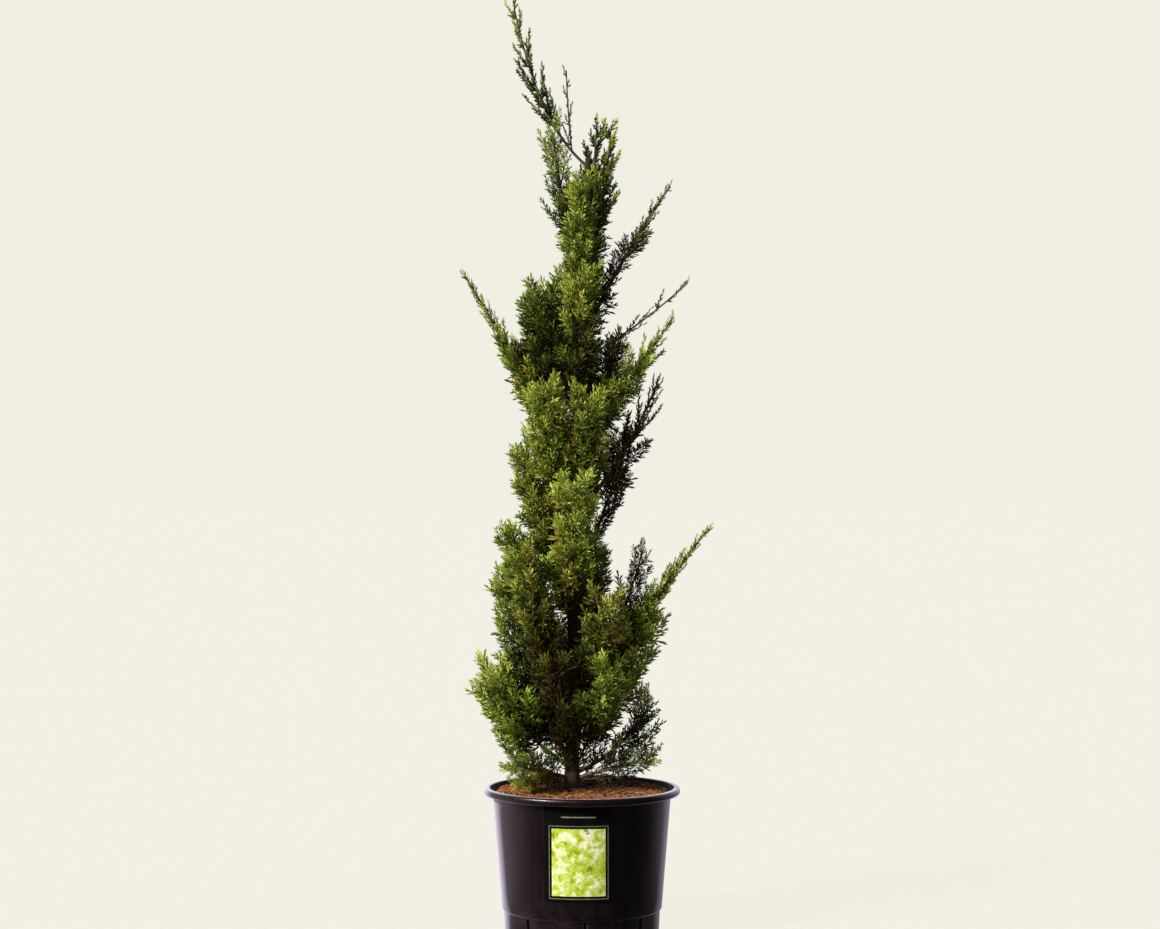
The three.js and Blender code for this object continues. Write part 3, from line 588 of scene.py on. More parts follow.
def wrapped_sheet(width, top, length, proud, thickness, line=None):
    """A rectangle bent round the pot's wall and given thickness; with a line width, only its border."""
    shape = bmesh.new()
    bmesh.ops.create_grid(shape, x_segments=SHEET_CELLS, y_segments=SHEET_CELLS, size=0.5)
    bmesh.ops.scale(shape, verts=shape.verts[:], vec=(width, length, 1))
    if line:
        inner = bmesh.ops.inset_region(
            shape, faces=shape.faces[:], thickness=line, use_boundary=True, use_even_offset=True
        )
        border = set(inner["faces"])
        bmesh.ops.delete(shape, geom=[face for face in shape.faces if face not in border], context="FACES")
    for vert in shape.verts:
        height = top - length / 2 + vert.co.y
        radius = wall_radius(height) + SEAT_GAP + proud
        turn = CARD_TURN + vert.co.x / radius
        vert.co = (radius * math.cos(turn), radius * math.sin(turn), height)
    bmesh.ops.recalc_face_normals(shape, faces=shape.faces[:])
    outward = Vector((math.cos(CARD_TURN), math.sin(CARD_TURN), 0))
    shape.faces.ensure_lookup_table()
    if shape.faces[0].normal.dot(outward) < 0:
        bmesh.ops.reverse_faces(shape, faces=shape.faces[:])
    bmesh.ops.solidify(shape, geom=shape.faces[:], thickness=thickness)
    bmesh.ops.recalc_face_normals(shape, faces=shape.faces[:])
    return shape


card_finish, card_tree, card_shader = new_finish("black_laminate", 0.3)
card_dust = add(card_tree, "Group", {"Scale": 60, "Cover": 0.5}, node_tree=dusting)
card_colour = mixed(card_tree, card_dust.outputs["Mask"], LAMINATE, LAMINATE_DUSTY)
card_matt = ranged(card_tree, card_dust.outputs["Mask"], *LAMINATE_ROUGHNESS)
feed(card_tree, card_shader, {"Base Color": card_colour, "Roughness": card_matt, "Specular IOR Level": 0.16})
bumped(card_tree, card_shader, card_dust.outputs["Grain"], 0.05, PRINT_RELIEF)
card_shape = wrapped_sheet(CARD_WIDTH, CARD_TOP, CARD_LENGTH, CARD_THICKNESS, CARD_THICKNESS)
seat("card", smooth_mesh("card", card_shape, MOULDED_CREASE), card_finish, "card", "label_card")

line_finish, line_tree, line_shader = new_finish("olive_print", 0.45)
line_dust = add(line_tree, "Group", {"Scale": 140, "Cover": 0.55}, node_tree=dusting)
line_colour = mixed(line_tree, line_dust.outputs["Mask"], LINE_DARK, LINE_LIGHT)
feed(line_tree, line_shader, {"Base Color": line_colour})
bumped(line_tree, line_shader, line_dust.outputs["Grain"], 0.05, PRINT_RELIEF)
line_shape = wrapped_sheet(
    PANEL_WIDTH + 2 * FRAME_MARGIN, PANEL_TOP + FRAME_MARGIN, PANEL_LENGTH + 2 * FRAME_MARGIN,
    PRINT_PROUD, PRINT_STEP, FRAME_LINE,
)
seat("frame_line", smooth_mesh("frame_line", line_shape, MOULDED_CREASE), line_finish, "card")
rule_shape = wrapped_sheet(RULE_WIDTH, RULE_TOP, RULE_LENGTH, PRINT_PROUD, PRINT_STEP)
seat("plain_rule", smooth_mesh("plain_rule", rule_shape, MOULDED_CREASE), line_finish, "card")

panel_finish, panel_tree, panel_shader = new_finish("leafy_print", 0.4)
panel_place = add(panel_tree, "TexCoord").outputs["Object"]
panel_inputs = {"Vector": panel_place, "Scale": 80, "Detail": 8, "Roughness": 0.72, "Distortion": 0.25}
panel_blots = add(panel_tree, "TexNoise", panel_inputs).outputs[0]
fleck_inputs = {"Vector": panel_place, "Scale": 62, "Detail": 5, "Roughness": 0.6}
panel_flecks = add(panel_tree, "TexNoise", fleck_inputs).outputs[0]
panel_colour = mixed(panel_tree, ranged(panel_tree, panel_blots, *PALE_BLOTS), LEAF_PRINT, PALE_PRINT)
panel_colour = mixed(panel_tree, ranged(panel_tree, panel_blots, *OLIVE_BLOTS), panel_colour, OLIVE_PRINT)
panel_colour = mixed(panel_tree, ranged(panel_tree, panel_flecks, *DARK_FLECKS), panel_colour, DARK_PRINT)
panel_matt = ranged(panel_tree, panel_blots, *PANEL_ROUGHNESS)
feed(panel_tree, panel_shader, {"Base Color": panel_colour, "Roughness": panel_matt})
bumped(panel_tree, panel_shader, panel_blots, 0.04, PRINT_RELIEF)
panel_shape = wrapped_sheet(PANEL_WIDTH, PANEL_TOP, PANEL_LENGTH, PRINT_PROUD, PRINT_STEP)
seat("printed_panel", smooth_mesh("printed_panel", panel_shape, MOULDED_CREASE), panel_finish, "card")


# Trunk: one slim stem, rooted in the compost by a flared foot and pruned off at its top, with thin
# grey-brown bark that parts along its length into stringy ridges.
TRUNK_TOP = 1.180
FOOT_X = -0.015
FOOT_Y = 0.008
LEAN = 0.025
LEAN_START = 0.3
WAVE = 0.003
TRUNK_RADIUS = 0.0105
TRUNK_TOP_RADIUS = 0.0052
FLARE = 0.0055
FLARE_HEIGHT = 0.016
TRUNK_SIDES = 28
TRUNK_STEPS = 220
TRUNK_RIDGE = 0.11
TRUNK_SEED = 3.0
TRUNK_DARK = (0.018, 0.011, 0.008, 1)
TRUNK_LIGHT = (0.05, 0.033, 0.024, 1)
TRUNK_GRAIN = (420, 0.08)
BARK_STRINGS = 5.2
STRING_RUN = 22
STRING_NOISE = (0.9, 2.1, 4)
STRING_SHADES = (0.3, 0.7, 0, 1)
BARK_ROUGHNESS = (0, 1, 0.95, 0.75)
LOOK_AHEAD = 0.01
UP = np.array([0.0, 0.0, 1.0])


def eased(value, low, high):
    """From 0 to 1 with a soft start and end."""
    share = min(max((value - low) / (high - low), 0), 1)
    return share * share * (3 - 2 * share)


def trunk_axis(share):
    """The middle of the trunk at a share of its height."""
    wave = WAVE * math.sin(3 * math.pi * share) * eased(share, 0, LEAN_START)
    x = FOOT_X + LEAN * eased(share, LEAN_START, 1) + wave
    y = FOOT_Y * (1 - eased(share, 0, 1)) - wave
    return np.array([x, y, GROUND + (TRUNK_TOP - GROUND) * share])


def trunk_radius(share):
    """The trunk's radius at a share of its height."""
    flare = FLARE * math.exp(-share * (TRUNK_TOP - GROUND) / FLARE_HEIGHT)
    return TRUNK_RADIUS + (TRUNK_TOP_RADIUS - TRUNK_RADIUS) * share + flare


def bark_limb(shape, path, radius, sides, steps, ridge, seed):
    """Draws a limb out of a ring of edges, step by step along its path, with ridges in its bark."""
    first_ring = list(bmesh.ops.create_circle(shape, segments=sides, radius=1.0)["verts"])
    ring = first_ring
    side = np.array([1.0, 0.0, 0.0])
    for step in range(steps + 1):
        share = step / steps
        along = unit(path(min(share + LOOK_AHEAD, 1)) - path(max(share - LOOK_AHEAD, 0)))
        side = unit(side - along * np.dot(side, along))
        front = np.cross(along, side)
        if step:
            edges = [edge for edge in {edge for vert in ring for edge in vert.link_edges}
                     if edge.verts[0] in ring and edge.verts[1] in ring]
            drawn = bmesh.ops.extrude_edge_only(shape, edges=edges)
            fresh = {item for item in drawn["geom"] if isinstance(item, bmesh.types.BMVert)}
            ring = [next(edge.other_vert(vert) for edge in vert.link_edges if edge.other_vert(vert) in fresh)
                    for vert in ring]
        centre = path(share)
        for number, vert in enumerate(ring):
            turn = math.tau * number / sides
            out = side * math.cos(turn) + front * math.sin(turn)
            round_x, round_y = BARK_STRINGS * math.cos(turn), BARK_STRINGS * math.sin(turn)
            spot = Vector((round_x + seed, round_y, centre[2] * STRING_RUN))
            reach = radius(share) * (1 + ridge * noise.fractal(spot, *STRING_NOISE))
            vert.co = Vector(centre + out * reach)
    for end in (first_ring, ring):
        bmesh.ops.contextual_create(shape, geom=end)


strings, string_in, string_out = new_effect("bark_strings", ("Scale", "Stretch"), ("Shade", "Relief"))
string_parts = add(strings, "SeparateXYZ", {0: add(strings, "TexCoord").outputs["Object"]}).outputs
string_rise = computed(strings, "MULTIPLY", string_parts["Z"], string_in.outputs["Stretch"])
string_drawn = {"X": string_parts["X"], "Y": string_parts["Y"], "Z": string_rise}
string_place = add(strings, "CombineXYZ", string_drawn).outputs[0]
string_size = string_in.outputs["Scale"]
string_inputs = {"Vector": string_place, "Scale": string_size, "Detail": 6, "Roughness": 0.65}
string_noise = add(strings, "TexNoise", string_inputs).outputs[0]
feed(strings, string_out, {"Shade": ranged(strings, string_noise, *STRING_SHADES), "Relief": string_noise})


def bark_finish(name, dark, light, scale, stretch):
    """Stringy bark between two colours, with a scale and how far its strings are drawn along the limb."""
    finish, tree, shader = new_finish(name, 0.85)
    lines = add(tree, "Group", {"Scale": scale, "Stretch": stretch}, node_tree=strings).outputs
    colour = mixed(tree, lines["Shade"], dark, light)
    rough = ranged(tree, lines["Shade"], *BARK_ROUGHNESS)
    feed(tree, shader, {"Base Color": colour, "Roughness": rough, "Specular IOR Level": 0.25})
    bumped(tree, shader, lines["Relief"], 0.7, 0.0012)
    return finish


trunk_finish = bark_finish("trunk_bark", TRUNK_DARK, TRUNK_LIGHT, *TRUNK_GRAIN)
trunk_shape = bmesh.new()
bark_limb(trunk_shape, trunk_axis, trunk_radius, TRUNK_SIDES, TRUNK_STEPS, TRUNK_RIDGE, TRUNK_SEED)
bmesh.ops.recalc_face_normals(trunk_shape, faces=trunk_shape.faces[:])
trunk_mesh = smooth_mesh("trunk_with_bark", trunk_shape, SOFT_CREASE)
seat("trunk_with_bark", trunk_mesh, trunk_finish, "bark", "trunk")


# Boughs: a slim limb for each plume of foliage, that leaves the trunk and curves up and out. The first
# part of some is bare; the rest runs on as the stem inside its foliage. Bark as on the trunk, but finer.
LIMB_TIP_RADIUS = 0.0011
LIMB_BASE_RADIUS = 0.0019
LIMB_GIRTH_PER_LENGTH = 0.0085
FULL_GIRTH = 0.030
STEM_END = 0.94
SLENDER_LIMBS = {"leader": 0.62}
LIMB_SIDES = 10
LIMB_STEPS = 26
LIMB_RIDGE = 0.14
LIMB_SEEDS = 7.0
LIMB_DARK = (0.038, 0.023, 0.016, 1)
LIMB_LIGHT = (0.15, 0.098, 0.068, 1)
LIMB_GRAIN = (600, 0.12)
BOW_OUT = 0.24
BOW_UP = 0.4
LIMB_TRAIL = 41
USUAL_PLUME = {"taper": 0.4, "bare": 0, "bow": 0.5}
# A plume's height on the trunk, turn in degrees, reach, rise and girth, then where it isn't the usual plume.
PLUME_COLUMNS = ("start", "turn", "reach", "rise", "girth")
PLUME_SIZES = {
    "leader": (1.168, 182, 0.119, 0.268, 0.025, {"bare": 0.26, "bow": 0.7}),
    "leader_spire": (None, 165, 0.010, 0.136, 0.011, {"on": "leader", "at": 0.64, "taper": 0.6}),
    "crest_left": (1.035, 188, 0.057, 0.204, 0.027, {"taper": 0.3, "bow": 0.85}),
    "crest_right": (1.055, 352, 0.036, 0.195, 0.024, {"taper": 0.3, "bow": 0.8}),
    "crest_back": (1.105, 60, 0.024, 0.140, 0.023, {}),
    "neck_front": (0.915, 262, 0.042, 0.240, 0.024, {}),
    "neck_left": (0.925, 168, 0.028, 0.206, 0.021, {"taper": 0.5}),
    "neck_right": (0.965, 14, 0.023, 0.190, 0.017, {}),
    "neck_back": (0.925, 96, 0.044, 0.235, 0.031, {}),
    "shoulder_left": (0.785, 198, 0.060, 0.180, 0.044, {"taper": 0.35}),
    "shoulder_front": (0.795, 276, 0.062, 0.200, 0.038, {}),
    "shoulder_back": (0.795, 112, 0.074, 0.205, 0.042, {}),
    "shoulder_right": (0.704, 30, 0.068, 0.200, 0.035, {"taper": 0.35}),
    "spire_high": (0.910, 0, 0.140, 0.240, 0.025, {"taper": 0.9, "bare": 0.13, "bow": -0.15}),
    "spire_thin": (0.872, 344, 0.176, 0.124, 0.013, {"bare": 0.4, "bow": 0.2}),
    "spire_left": (0.712, 181, 0.178, 0.308, 0.026, {"taper": 0.9, "bare": 0.12, "bow": -0.05}),
    "spire_mid": (0.738, 336, 0.170, 0.208, 0.031, {"taper": 0.9, "bare": 0.12, "bow": 0.12}),
    "spire_dark": (0.632, 18, 0.148, 0.230, 0.036, {"taper": 0.75, "bare": 0.13, "bow": 0.4}),
    "mid_front_left": (0.640, 236, 0.079, 0.190, 0.038, {}),
    "mid_front_right": (0.612, 292, 0.070, 0.205, 0.036, {}),
    "mid_back_left": (0.645, 150, 0.090, 0.236, 0.034, {"bow": -0.5}),
    "mid_back_right": (0.650, 42, 0.084, 0.235, 0.041, {}),
    "waist_left": (0.528, 188, 0.077, 0.222, 0.039, {}),
    "waist_right": (0.545, 4, 0.080, 0.206, 0.034, {"bow": 0.45}),
    "waist_front": (0.468, 270, 0.080, 0.222, 0.040, {}),
    "waist_back": (0.480, 98, 0.092, 0.235, 0.044, {}),
    "low_left": (0.395, 200, 0.101, 0.222, 0.033, {"taper": 0.55, "bare": 0.14}),
    "low_right": (0.365, 25, 0.123, 0.226, 0.029, {"taper": 0.6, "bare": 0.14}),
    "spire_low": (0.330, 350, 0.220, 0.298, 0.031, {"taper": 0.85, "bare": 0.14, "bow": -0.08}),
    "low_front_left": (0.332, 226, 0.102, 0.250, 0.042, {}),
    "low_front_right": (0.345, 304, 0.092, 0.170, 0.033, {}),
    "low_back_left": (0.340, 132, 0.118, 0.240, 0.045, {}),
    "low_back_right": (0.352, 70, 0.112, 0.240, 0.043, {}),
    "base_left": (0.268, 174, 0.104, 0.290, 0.047, {"taper": 0.6, "bare": 0.13, "bow": 0.9}),
    "fan_left": (0.250, 192, 0.120, 0.130, 0.050, {"taper": 0.35, "bare": 0.18}),
    "fan_right": (0.284, 354, 0.113, 0.194, 0.046, {"taper": 0.45, "bare": 0.18}),
    "base_front_left": (0.268, 250, 0.060, 0.138, 0.038, {}),
    "base_front_right": (0.280, 306, 0.092, 0.126, 0.038, {}),
    "base_back": (0.248, 100, 0.128, 0.180, 0.050, {}),
    "skirt_left": (0.232, 222, 0.120, 0.030, 0.043, {"taper": 0.3, "bow": 0}),
    "skirt_right": (0.238, 6, 0.124, 0.114, 0.035, {"bare": 0.22, "bow": 0.6}),
    "skirt_front": (0.231, 342, 0.125, 0.036, 0.044, {"taper": 0.3, "bow": 0}),
    "foot_right": (0.238, 344, 0.034, 0.080, 0.052, {"bow": 0.2}),
    "foot_left": (0.240, 214, 0.030, 0.072, 0.050, {"bow": 0.2}),
    "foot_hang": (0.236, 224, 0.104, -0.010, 0.019, {"bow": 0}),
}


def curve_point(curve, share):
    """A point on a curve that leaves its start towards its middle and comes to its tip."""
    start, middle, tip = curve
    return start * (1 - share) ** 2 + middle * 2 * share * (1 - share) + tip * share**2


def curve_length(curve, points):
    """The length of a curve, measured over a number of points."""
    trail = [curve_point(curve, share) for share in np.linspace(0, 1, points)]
    return float(np.linalg.norm(np.diff(trail, axis=0), axis=1).sum())


def limb_curve(plume, limbs):
    """The path of a plume's limb from the trunk, or from the bough that carries it, to its tip."""
    if "on" in plume:
        carrier = limbs[plume["on"]]
        start = curve_point(carrier["curve"], plume["at"] * carrier["bare"])
    else:
        start = trunk_axis((plume["start"] - GROUND) / (TRUNK_TOP - GROUND))
    turn = math.radians(plume["turn"])
    outward = np.array([math.cos(turn), math.sin(turn), 0])
    out_share = 0.5 + BOW_OUT * plume["bow"]
    up_share = 0.5 - BOW_UP * plume["bow"]
    middle = start + outward * plume["reach"] * out_share + UP * plume["rise"] * up_share
    tip = start + outward * plume["reach"] + UP * plume["rise"]
    return outward, (start, middle, tip)


plumes = {}
for number, (name, (*sizes, habit)) in enumerate(PLUME_SIZES.items(), 1):
    plume = {**USUAL_PLUME, **dict(zip(PLUME_COLUMNS, sizes)), **habit, "seed": number}
    plume["outward"], plume["curve"] = limb_curve(plume, plumes)
    plume["length"] = curve_length(plume["curve"], LIMB_TRAIL)
    plume["stem_start"] = plume["bare"] + SEAT_GAP / plume["length"] if plume["bare"] else 0
    plumes[name] = plume

bough_finish = bark_finish("bough_bark", LIMB_DARK, LIMB_LIGHT, *LIMB_GRAIN)
bough_shape = bmesh.new()
for name, plume in plumes.items():
    thick = LIMB_BASE_RADIUS + LIMB_GIRTH_PER_LENGTH * plume["length"]
    thick *= min(1, plume["girth"] / FULL_GIRTH) * SLENDER_LIMBS.get(name, 1)
    bark_limb(
        bough_shape,
        lambda share: curve_point(plume["curve"], share * STEM_END),
        lambda share: thick + (LIMB_TIP_RADIUS - thick) * share,
        LIMB_SIDES, LIMB_STEPS, LIMB_RIDGE, plume["seed"] * LIMB_SEEDS,
    )
bmesh.ops.recalc_face_normals(bough_shape, faces=bough_shape.faces[:])
bough_nodes = sorted(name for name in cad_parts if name.startswith("bough_"))
seat("boughs", smooth_mesh("boughs", bough_shape, SOFT_CREASE), bough_finish, "bark", *bough_nodes)


# Twigs: fine shoots that leave each stem in a spiral, bend up along it and end in the sprays. The rule is
# the one that the solids follow, with more twigs along each stem. Drawn-out plumes end in long thin whips.
GOLDEN_ANGLE = math.pi * (3 - math.sqrt(5))
TWIG_PITCH = 0.0058
WHIP_PITCH = 0.0155
TWIG_START = 0.04
TWIG_REACH = 0.83
TWIG_FACING = 0.85
TWIG_LEAVES = math.radians(52)
TWIG_ENDS = math.radians(23)
TUFT_ENDS = math.radians(34)
TWIG_LIFT = 0.35
CORD_LENGTH = 0.052
TWIG_LENGTHS = (1.0, 0.75, 0.9, 0.55)
TWIG_VARIED = (0.8, 0.4)
TWIG_STRAY = 0.6
TWIG_SEEDS = 1000
TWIG_POINTS = 6
TWIG_END = 0.96
TWIG_RADII = (0.0013, 0.0005)
TWIG_GIRTHS = (0.7, 0.4)
TWIG_DARK = (0.05, 0.036, 0.014, 1)
TWIG_LIGHT = (0.2, 0.15, 0.045, 1)
TWIG_GRAIN = (700, 0.2)
BEND_SHARES = (0.72, 0.55)
TIP_SHARE = 0.45
WHIP_TWIG = 0.6
DEAD_TWIG = 0.8
DEAD_TIP = 0.3
DEAD_CLOSER = 0.3
TUFT_TIP = 0.3
WHIP_TIPS = (2.0, 1.3)
SWELL = (0.55, 2.2)
TAPER_CURVE = 1.3
SPIRE_TAPER = 0.75
SPIRE_WHIPS = (0.25, 0.65)
USUAL_WARMTH = 0.3
WARMTH_STRAY = 0.7
# Painted light: sprays towards a plume's tip are painted lighter, towards its base darker.
TIP_LIGHT = 0.9
INNER_DEAD = 2.0
OUTER_DEAD = 0.75
# Painted light and shade: how much lighter, or below 0 darker, a plume's sprays are painted than the rest.
SUNNY_PLUMES = {
    "leader": -0.36, "leader_spire": -0.4, "crest_left": -0.36, "crest_right": 0.05, "crest_back": -0.2,
    "neck_right": 0.15, "neck_front": 0.1, "shoulder_left": -0.68, "shoulder_front": -0.24,
    "shoulder_right": -0.5, "spire_left": -0.1, "spire_high": -0.32, "spire_thin": -0.25, "spire_mid": 0.4,
    "spire_dark": -0.5, "waist_front": 0.35, "waist_right": -0.45, "mid_front_left": 0.15,
    "mid_back_right": -0.42,
    "low_left": -0.14, "low_right": -0.3, "spire_low": 0.15, "low_front_left": -0.4, "low_front_right": -0.1,
    "base_left": -0.2, "waist_left": 0.12, "fan_left": -0.03, "fan_right": 0.55, "base_front_left": -0.85,
    "base_front_right": 0.1, "mid_back_left": -0.65, "skirt_left": -0.2, "skirt_right": -0.34,
    "skirt_front": -0.45, "foot_right": -0.4, "foot_left": -0.4, "foot_hang": 0.1,
}
# How brown a plume is, from 0 to 1.
WARM_PLUMES = {
    "neck_front": 0.15, "neck_left": 0.1, "neck_right": 0.2, "shoulder_left": 0.2, "shoulder_front": 0.35,
    "waist_front": 0.5, "waist_right": 0.6, "mid_front_left": 0.32, "mid_front_right": 0.42,
    "spire_dark": 0.6, "mid_back_right": 0.6, "low_front_left": 0.5, "low_front_right": 0.65,
    "base_front_left": 0.75, "base_front_right": 0.4, "low_right": 0.55, "fan_left": 0.12, "low_left": 0.15,
    "base_left": 0.15, "skirt_left": 0.45,
}
# How far a plume is drawn out into whips, from 0 to 1.
WHIPPY_PLUMES = {
    "leader": 0.8, "leader_spire": 1.0, "spire_thin": 1.0, "crest_left": 0.45, "crest_right": 0.65,
    "crest_back": 0.6, "skirt_left": 0.4, "skirt_right": 0.45, "skirt_front": 0.45, "low_right": 0.45,
    "spire_dark": 0.15, "mid_back_right": 0.3, "waist_right": 0.5, "foot_hang": 0.45,
}
# The share of a plume's twigs that are dead and bare.
DEAD_TWIGS = {
    "base_front_left": 0.5, "base_front_right": 0.2, "low_front_right": 0.3, "skirt_left": 0.25,
    "skirt_right": 0.35, "skirt_front": 0.35, "waist_front": 0.1, "shoulder_front": 0.2, "waist_right": 0.5,
    "spire_dark": 0.3, "mid_back_right": 0.4, "shoulder_right": 0.35, "neck_right": 0.1, "low_right": 0.3,
    "spire_high": 0.35, "foot_right": 0.9, "foot_left": 0.9,
}
# How far apart a plume's twigs are, against the usual pitch.
CLOSE_TWIGS = {"skirt_right": 0.82, "skirt_front": 0.78, "foot_right": 0.7, "foot_left": 0.8}
# How long a plume's twigs are, against the usual reach.
TWIG_SPANS = {
    "neck_right": 0.7, "neck_left": 0.75, "neck_back": 0.75, "neck_front": 0.88, "shoulder_right": 0.65,
    "low_back_right": 0.6, "waist_right": 0.85, "spire_low": 0.78, "low_left": 0.9, "waist_left": 0.92,
    "spire_high": 0.8, "skirt_right": 0.85, "fan_right": 1.15, "spire_dark": 1.25, "fan_left": 1.06,
}
# The share of a plume's stem that is clear of twigs; below 0 they start on the bare bough.
CLEAR_STEMS = {
    "skirt_left": 0.16, "skirt_front": 0.08, "skirt_right": -0.18, "base_front_left": 0.12, "fan_right": -0.1,
    "base_front_right": 0.16, "base_back": 0.3, "waist_right": 0.06, "low_right": 0.2, "low_back_right": 0.25,
    "waist_back": 0.2, "mid_front_left": 0.2, "fan_left": 0.2, "shoulder_left": 0.35, "foot_hang": 0.6,
    "spire_high": -0.14, "spire_thin": -0.25, "crest_left": 0.26, "crest_right": 0.12,
}


def swell(plume, share):
    """How far the foliage stands out from its stem, as a share of the plume's girth."""
    share = max(share, 0)
    return min(1, from_least(SWELL, share)) * (1 - plume["taper"] * share**TAPER_CURVE)


def slimness(plume, share):
    """From 0, bushy, to 1, drawn out into thin whips, at a share of a plume's stem."""
    if plume["taper"] >= SPIRE_TAPER:
        return eased(share, *SPIRE_WHIPS)
    return plume["whippy"]


def between(first, second, share):
    """A value part of the way from one to another."""
    return first + (second - first) * share


def stray(random, spread):
    """A random value on either side of zero."""
    return spread * (next(random) - 0.5)


def heading_along(curve, low, high):
    """The direction of a curve from one share of it to another."""
    return unit(curve_point(curve, high) - curve_point(curve, low))


def turned_aside(along, outward, turn):
    """A direction square to a stem, turned about it from the side that faces outward."""
    side = unit(outward - along * np.dot(outward, along))
    return side * math.cos(turn) + np.cross(side, along) * math.sin(turn)


def grow_twig(plume, number, count):
    """One twig of a plume: its path, the way it faces, its size and its own run of random numbers."""
    random = random_run(plume["seed"] * TWIG_SEEDS + number)
    share = between(plume["clear"], STEM_END, (number + 0.5) / count)
    slim = slimness(plume, share)
    shorter = TWIG_LENGTHS[number % len(TWIG_LENGTHS)]
    spiral = (number * GOLDEN_ANGLE + plume["seed"]) % math.tau - math.pi
    turn = TWIG_FACING * spiral + stray(random, TWIG_STRAY)
    reach = TWIG_REACH * plume["girth"] * plume["span"]
    length = reach * swell(plume, share) * from_least(TWIG_VARIED, next(random)) * shorter
    size = from_least(TWIG_VARIED, next(random)) * min(1, plume["girth"] / FULL_GIRTH) * shorter
    size *= 1 - slim * plume["taper"] * max(share, 0) ** TAPER_CURVE
    leafy = next(random) > plume["dead"] * between(INNER_DEAD, OUTER_DEAD, min(1, 2 * max(share, 0)))
    length *= between(1, WHIP_TWIG, slim) * (1 if leafy else DEAD_TWIG)
    on_limb = between(plume["stem_start"], 1, share)
    root = curve_point(plume["curve"], on_limb)
    along = heading_along(plume["curve"], max(on_limb - LOOK_AHEAD, 0), min(on_limb + LOOK_AHEAD, 1))
    out = turned_aside(along, plume["outward"], turn)
    ends = between(TUFT_ENDS, TWIG_ENDS, slim)
    heading = unit(out * math.sin(ends) + along * math.cos(ends) + UP * TWIG_LIFT)
    leaving = out * math.sin(TWIG_LEAVES) + along * math.cos(TWIG_LEAVES)
    bend = root + leaving * length * between(*BEND_SHARES, slim)
    whip_tip = WHIP_TIPS[0] - WHIP_TIPS[1] * share
    drawn_out = CORD_LENGTH * size * between(TUFT_TIP, whip_tip, slim) * (1 if leafy else DEAD_TIP)
    tip = bend + heading * (length * TIP_SHARE + drawn_out)
    return {
        "curve": (root, bend, tip), "out": out, "size": size, "slim": slim, "random": random,
        "leafy": leafy,
        "tone": plume["tone"] + TIP_LIGHT * (share - 0.5),
        "warm": plume["warm"] + stray(random, WARMTH_STRAY),
    }


PLUME_TRAITS = {
    "tone": (SUNNY_PLUMES, 0.0), "warm": (WARM_PLUMES, USUAL_WARMTH), "whippy": (WHIPPY_PLUMES, 0.0),
    "dead": (DEAD_TWIGS, 0.0), "close": (CLOSE_TWIGS, 1.0), "span": (TWIG_SPANS, 1.0),
    "clear": (CLEAR_STEMS, TWIG_START),
}
twigs = []
for name, plume in plumes.items():
    plume.update({trait: table.get(name, usual) for trait, (table, usual) in PLUME_TRAITS.items()})
    pitch = between(TWIG_PITCH, WHIP_PITCH, plume["whippy"])
    pitch = pitch * (1 - DEAD_CLOSER * plume["dead"]) * plume["close"]
    count = round(plume["length"] * (1 - plume["stem_start"]) / pitch)
    twigs += [grow_twig(plume, number, count) for number in range(count)]
twig_shares = np.linspace(0, TWIG_END, TWIG_POINTS)
twig_paths = np.array([[curve_point(twig["curve"], share) for share in twig_shares] for twig in twigs])
twig_girths = np.array([from_least(TWIG_GIRTHS, twig["size"]) for twig in twigs])
twig_radii = np.linspace(*TWIG_RADII, TWIG_POINTS)[None] * twig_girths[:, None]
twig_finish = bark_finish("twig_bark", TWIG_DARK, TWIG_LIGHT, *TWIG_GRAIN)
seat("twigs", joined_mesh("twigs", [thin_tubes(twig_paths, twig_radii)], True), twig_finish, "foliage")


# Sprays: the foliage itself. Each spray is a shoot with short cords of scale leaves on both sides, grown
# along a twig or a stem. Its colour carries painted light and shade: a yellow green tint where it faces the
# sun side or stands out, and a deep green or brown one inside the crown and on plumes painted as shaded.
foliage_nodes = sorted(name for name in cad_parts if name.startswith("foliage_"))
TWIG_TRAIL = 9
SPRAY_PITCH = 0.0044
SPRAY_LENGTH = 0.0285
WHIP_SPRAY_PITCH = 0.0046
WHIP_SPRAY_LENGTH = 0.0125
SPRAY_SPREAD = math.radians(44)
THIN_SHARE = 0.4
THIN_SPRAY_LENGTH = 0.012
THIN_TONE = -0.5
INNER_PITCH = 0.0036
INNER_SPREAD = math.radians(58)
BUSHY_CORDS = 8
WHIP_CORDS = 4
CORD_RADIUS = 0.054
WHIP_CORD_RADIUS = 0.13
CORD_BELLY = 0.55
CORD_SIDES = 3
CORD_HEIGHTS = (0.04, 0.72)
CORD_LEANS = (50, 22)
CORD_LEAN_STRAY = 18
CORD_LIFT_STRAY = 0.9
CORD_REACHES = (0.52, 0.36)
CORD_VARIED = (0.8, 0.4)
CORD_CLOSE = 1e-5
SPINE_GIRTH = 0.8
SPINE_STRAY = 0.1
SPINE_LIFT = 0.1
END_FACING = 0.9
PATTERNS_EACH = 3
PATTERN_SEEDS = (700, 20)
SPRAY_STARTS = (0.3, 0.15)
SPRAY_END = 0.98
SPRAY_AHEAD = 0.02
SPRAY_TURN = 2.4
SPRAY_TURN_VARIED = 1.2
SPRAY_CLOSING = 0.6
SPREAD_VARIED = (0.7, 0.6)
WHIP_SPREAD = 0.6
TIP_SPREAD = 0.1
SPRAY_LIFT = 0.2
SPRAY_ROLL = 0.8
LENGTH_VARIED = (0.75, 0.5)
LENGTH_BY_TWIG = (0.6, 0.4)
LENGTH_BY_SHARE = (1.1, -0.25)
TONE_STRAY = 0.5
SPRAY_WARMTH_STRAY = 0.5
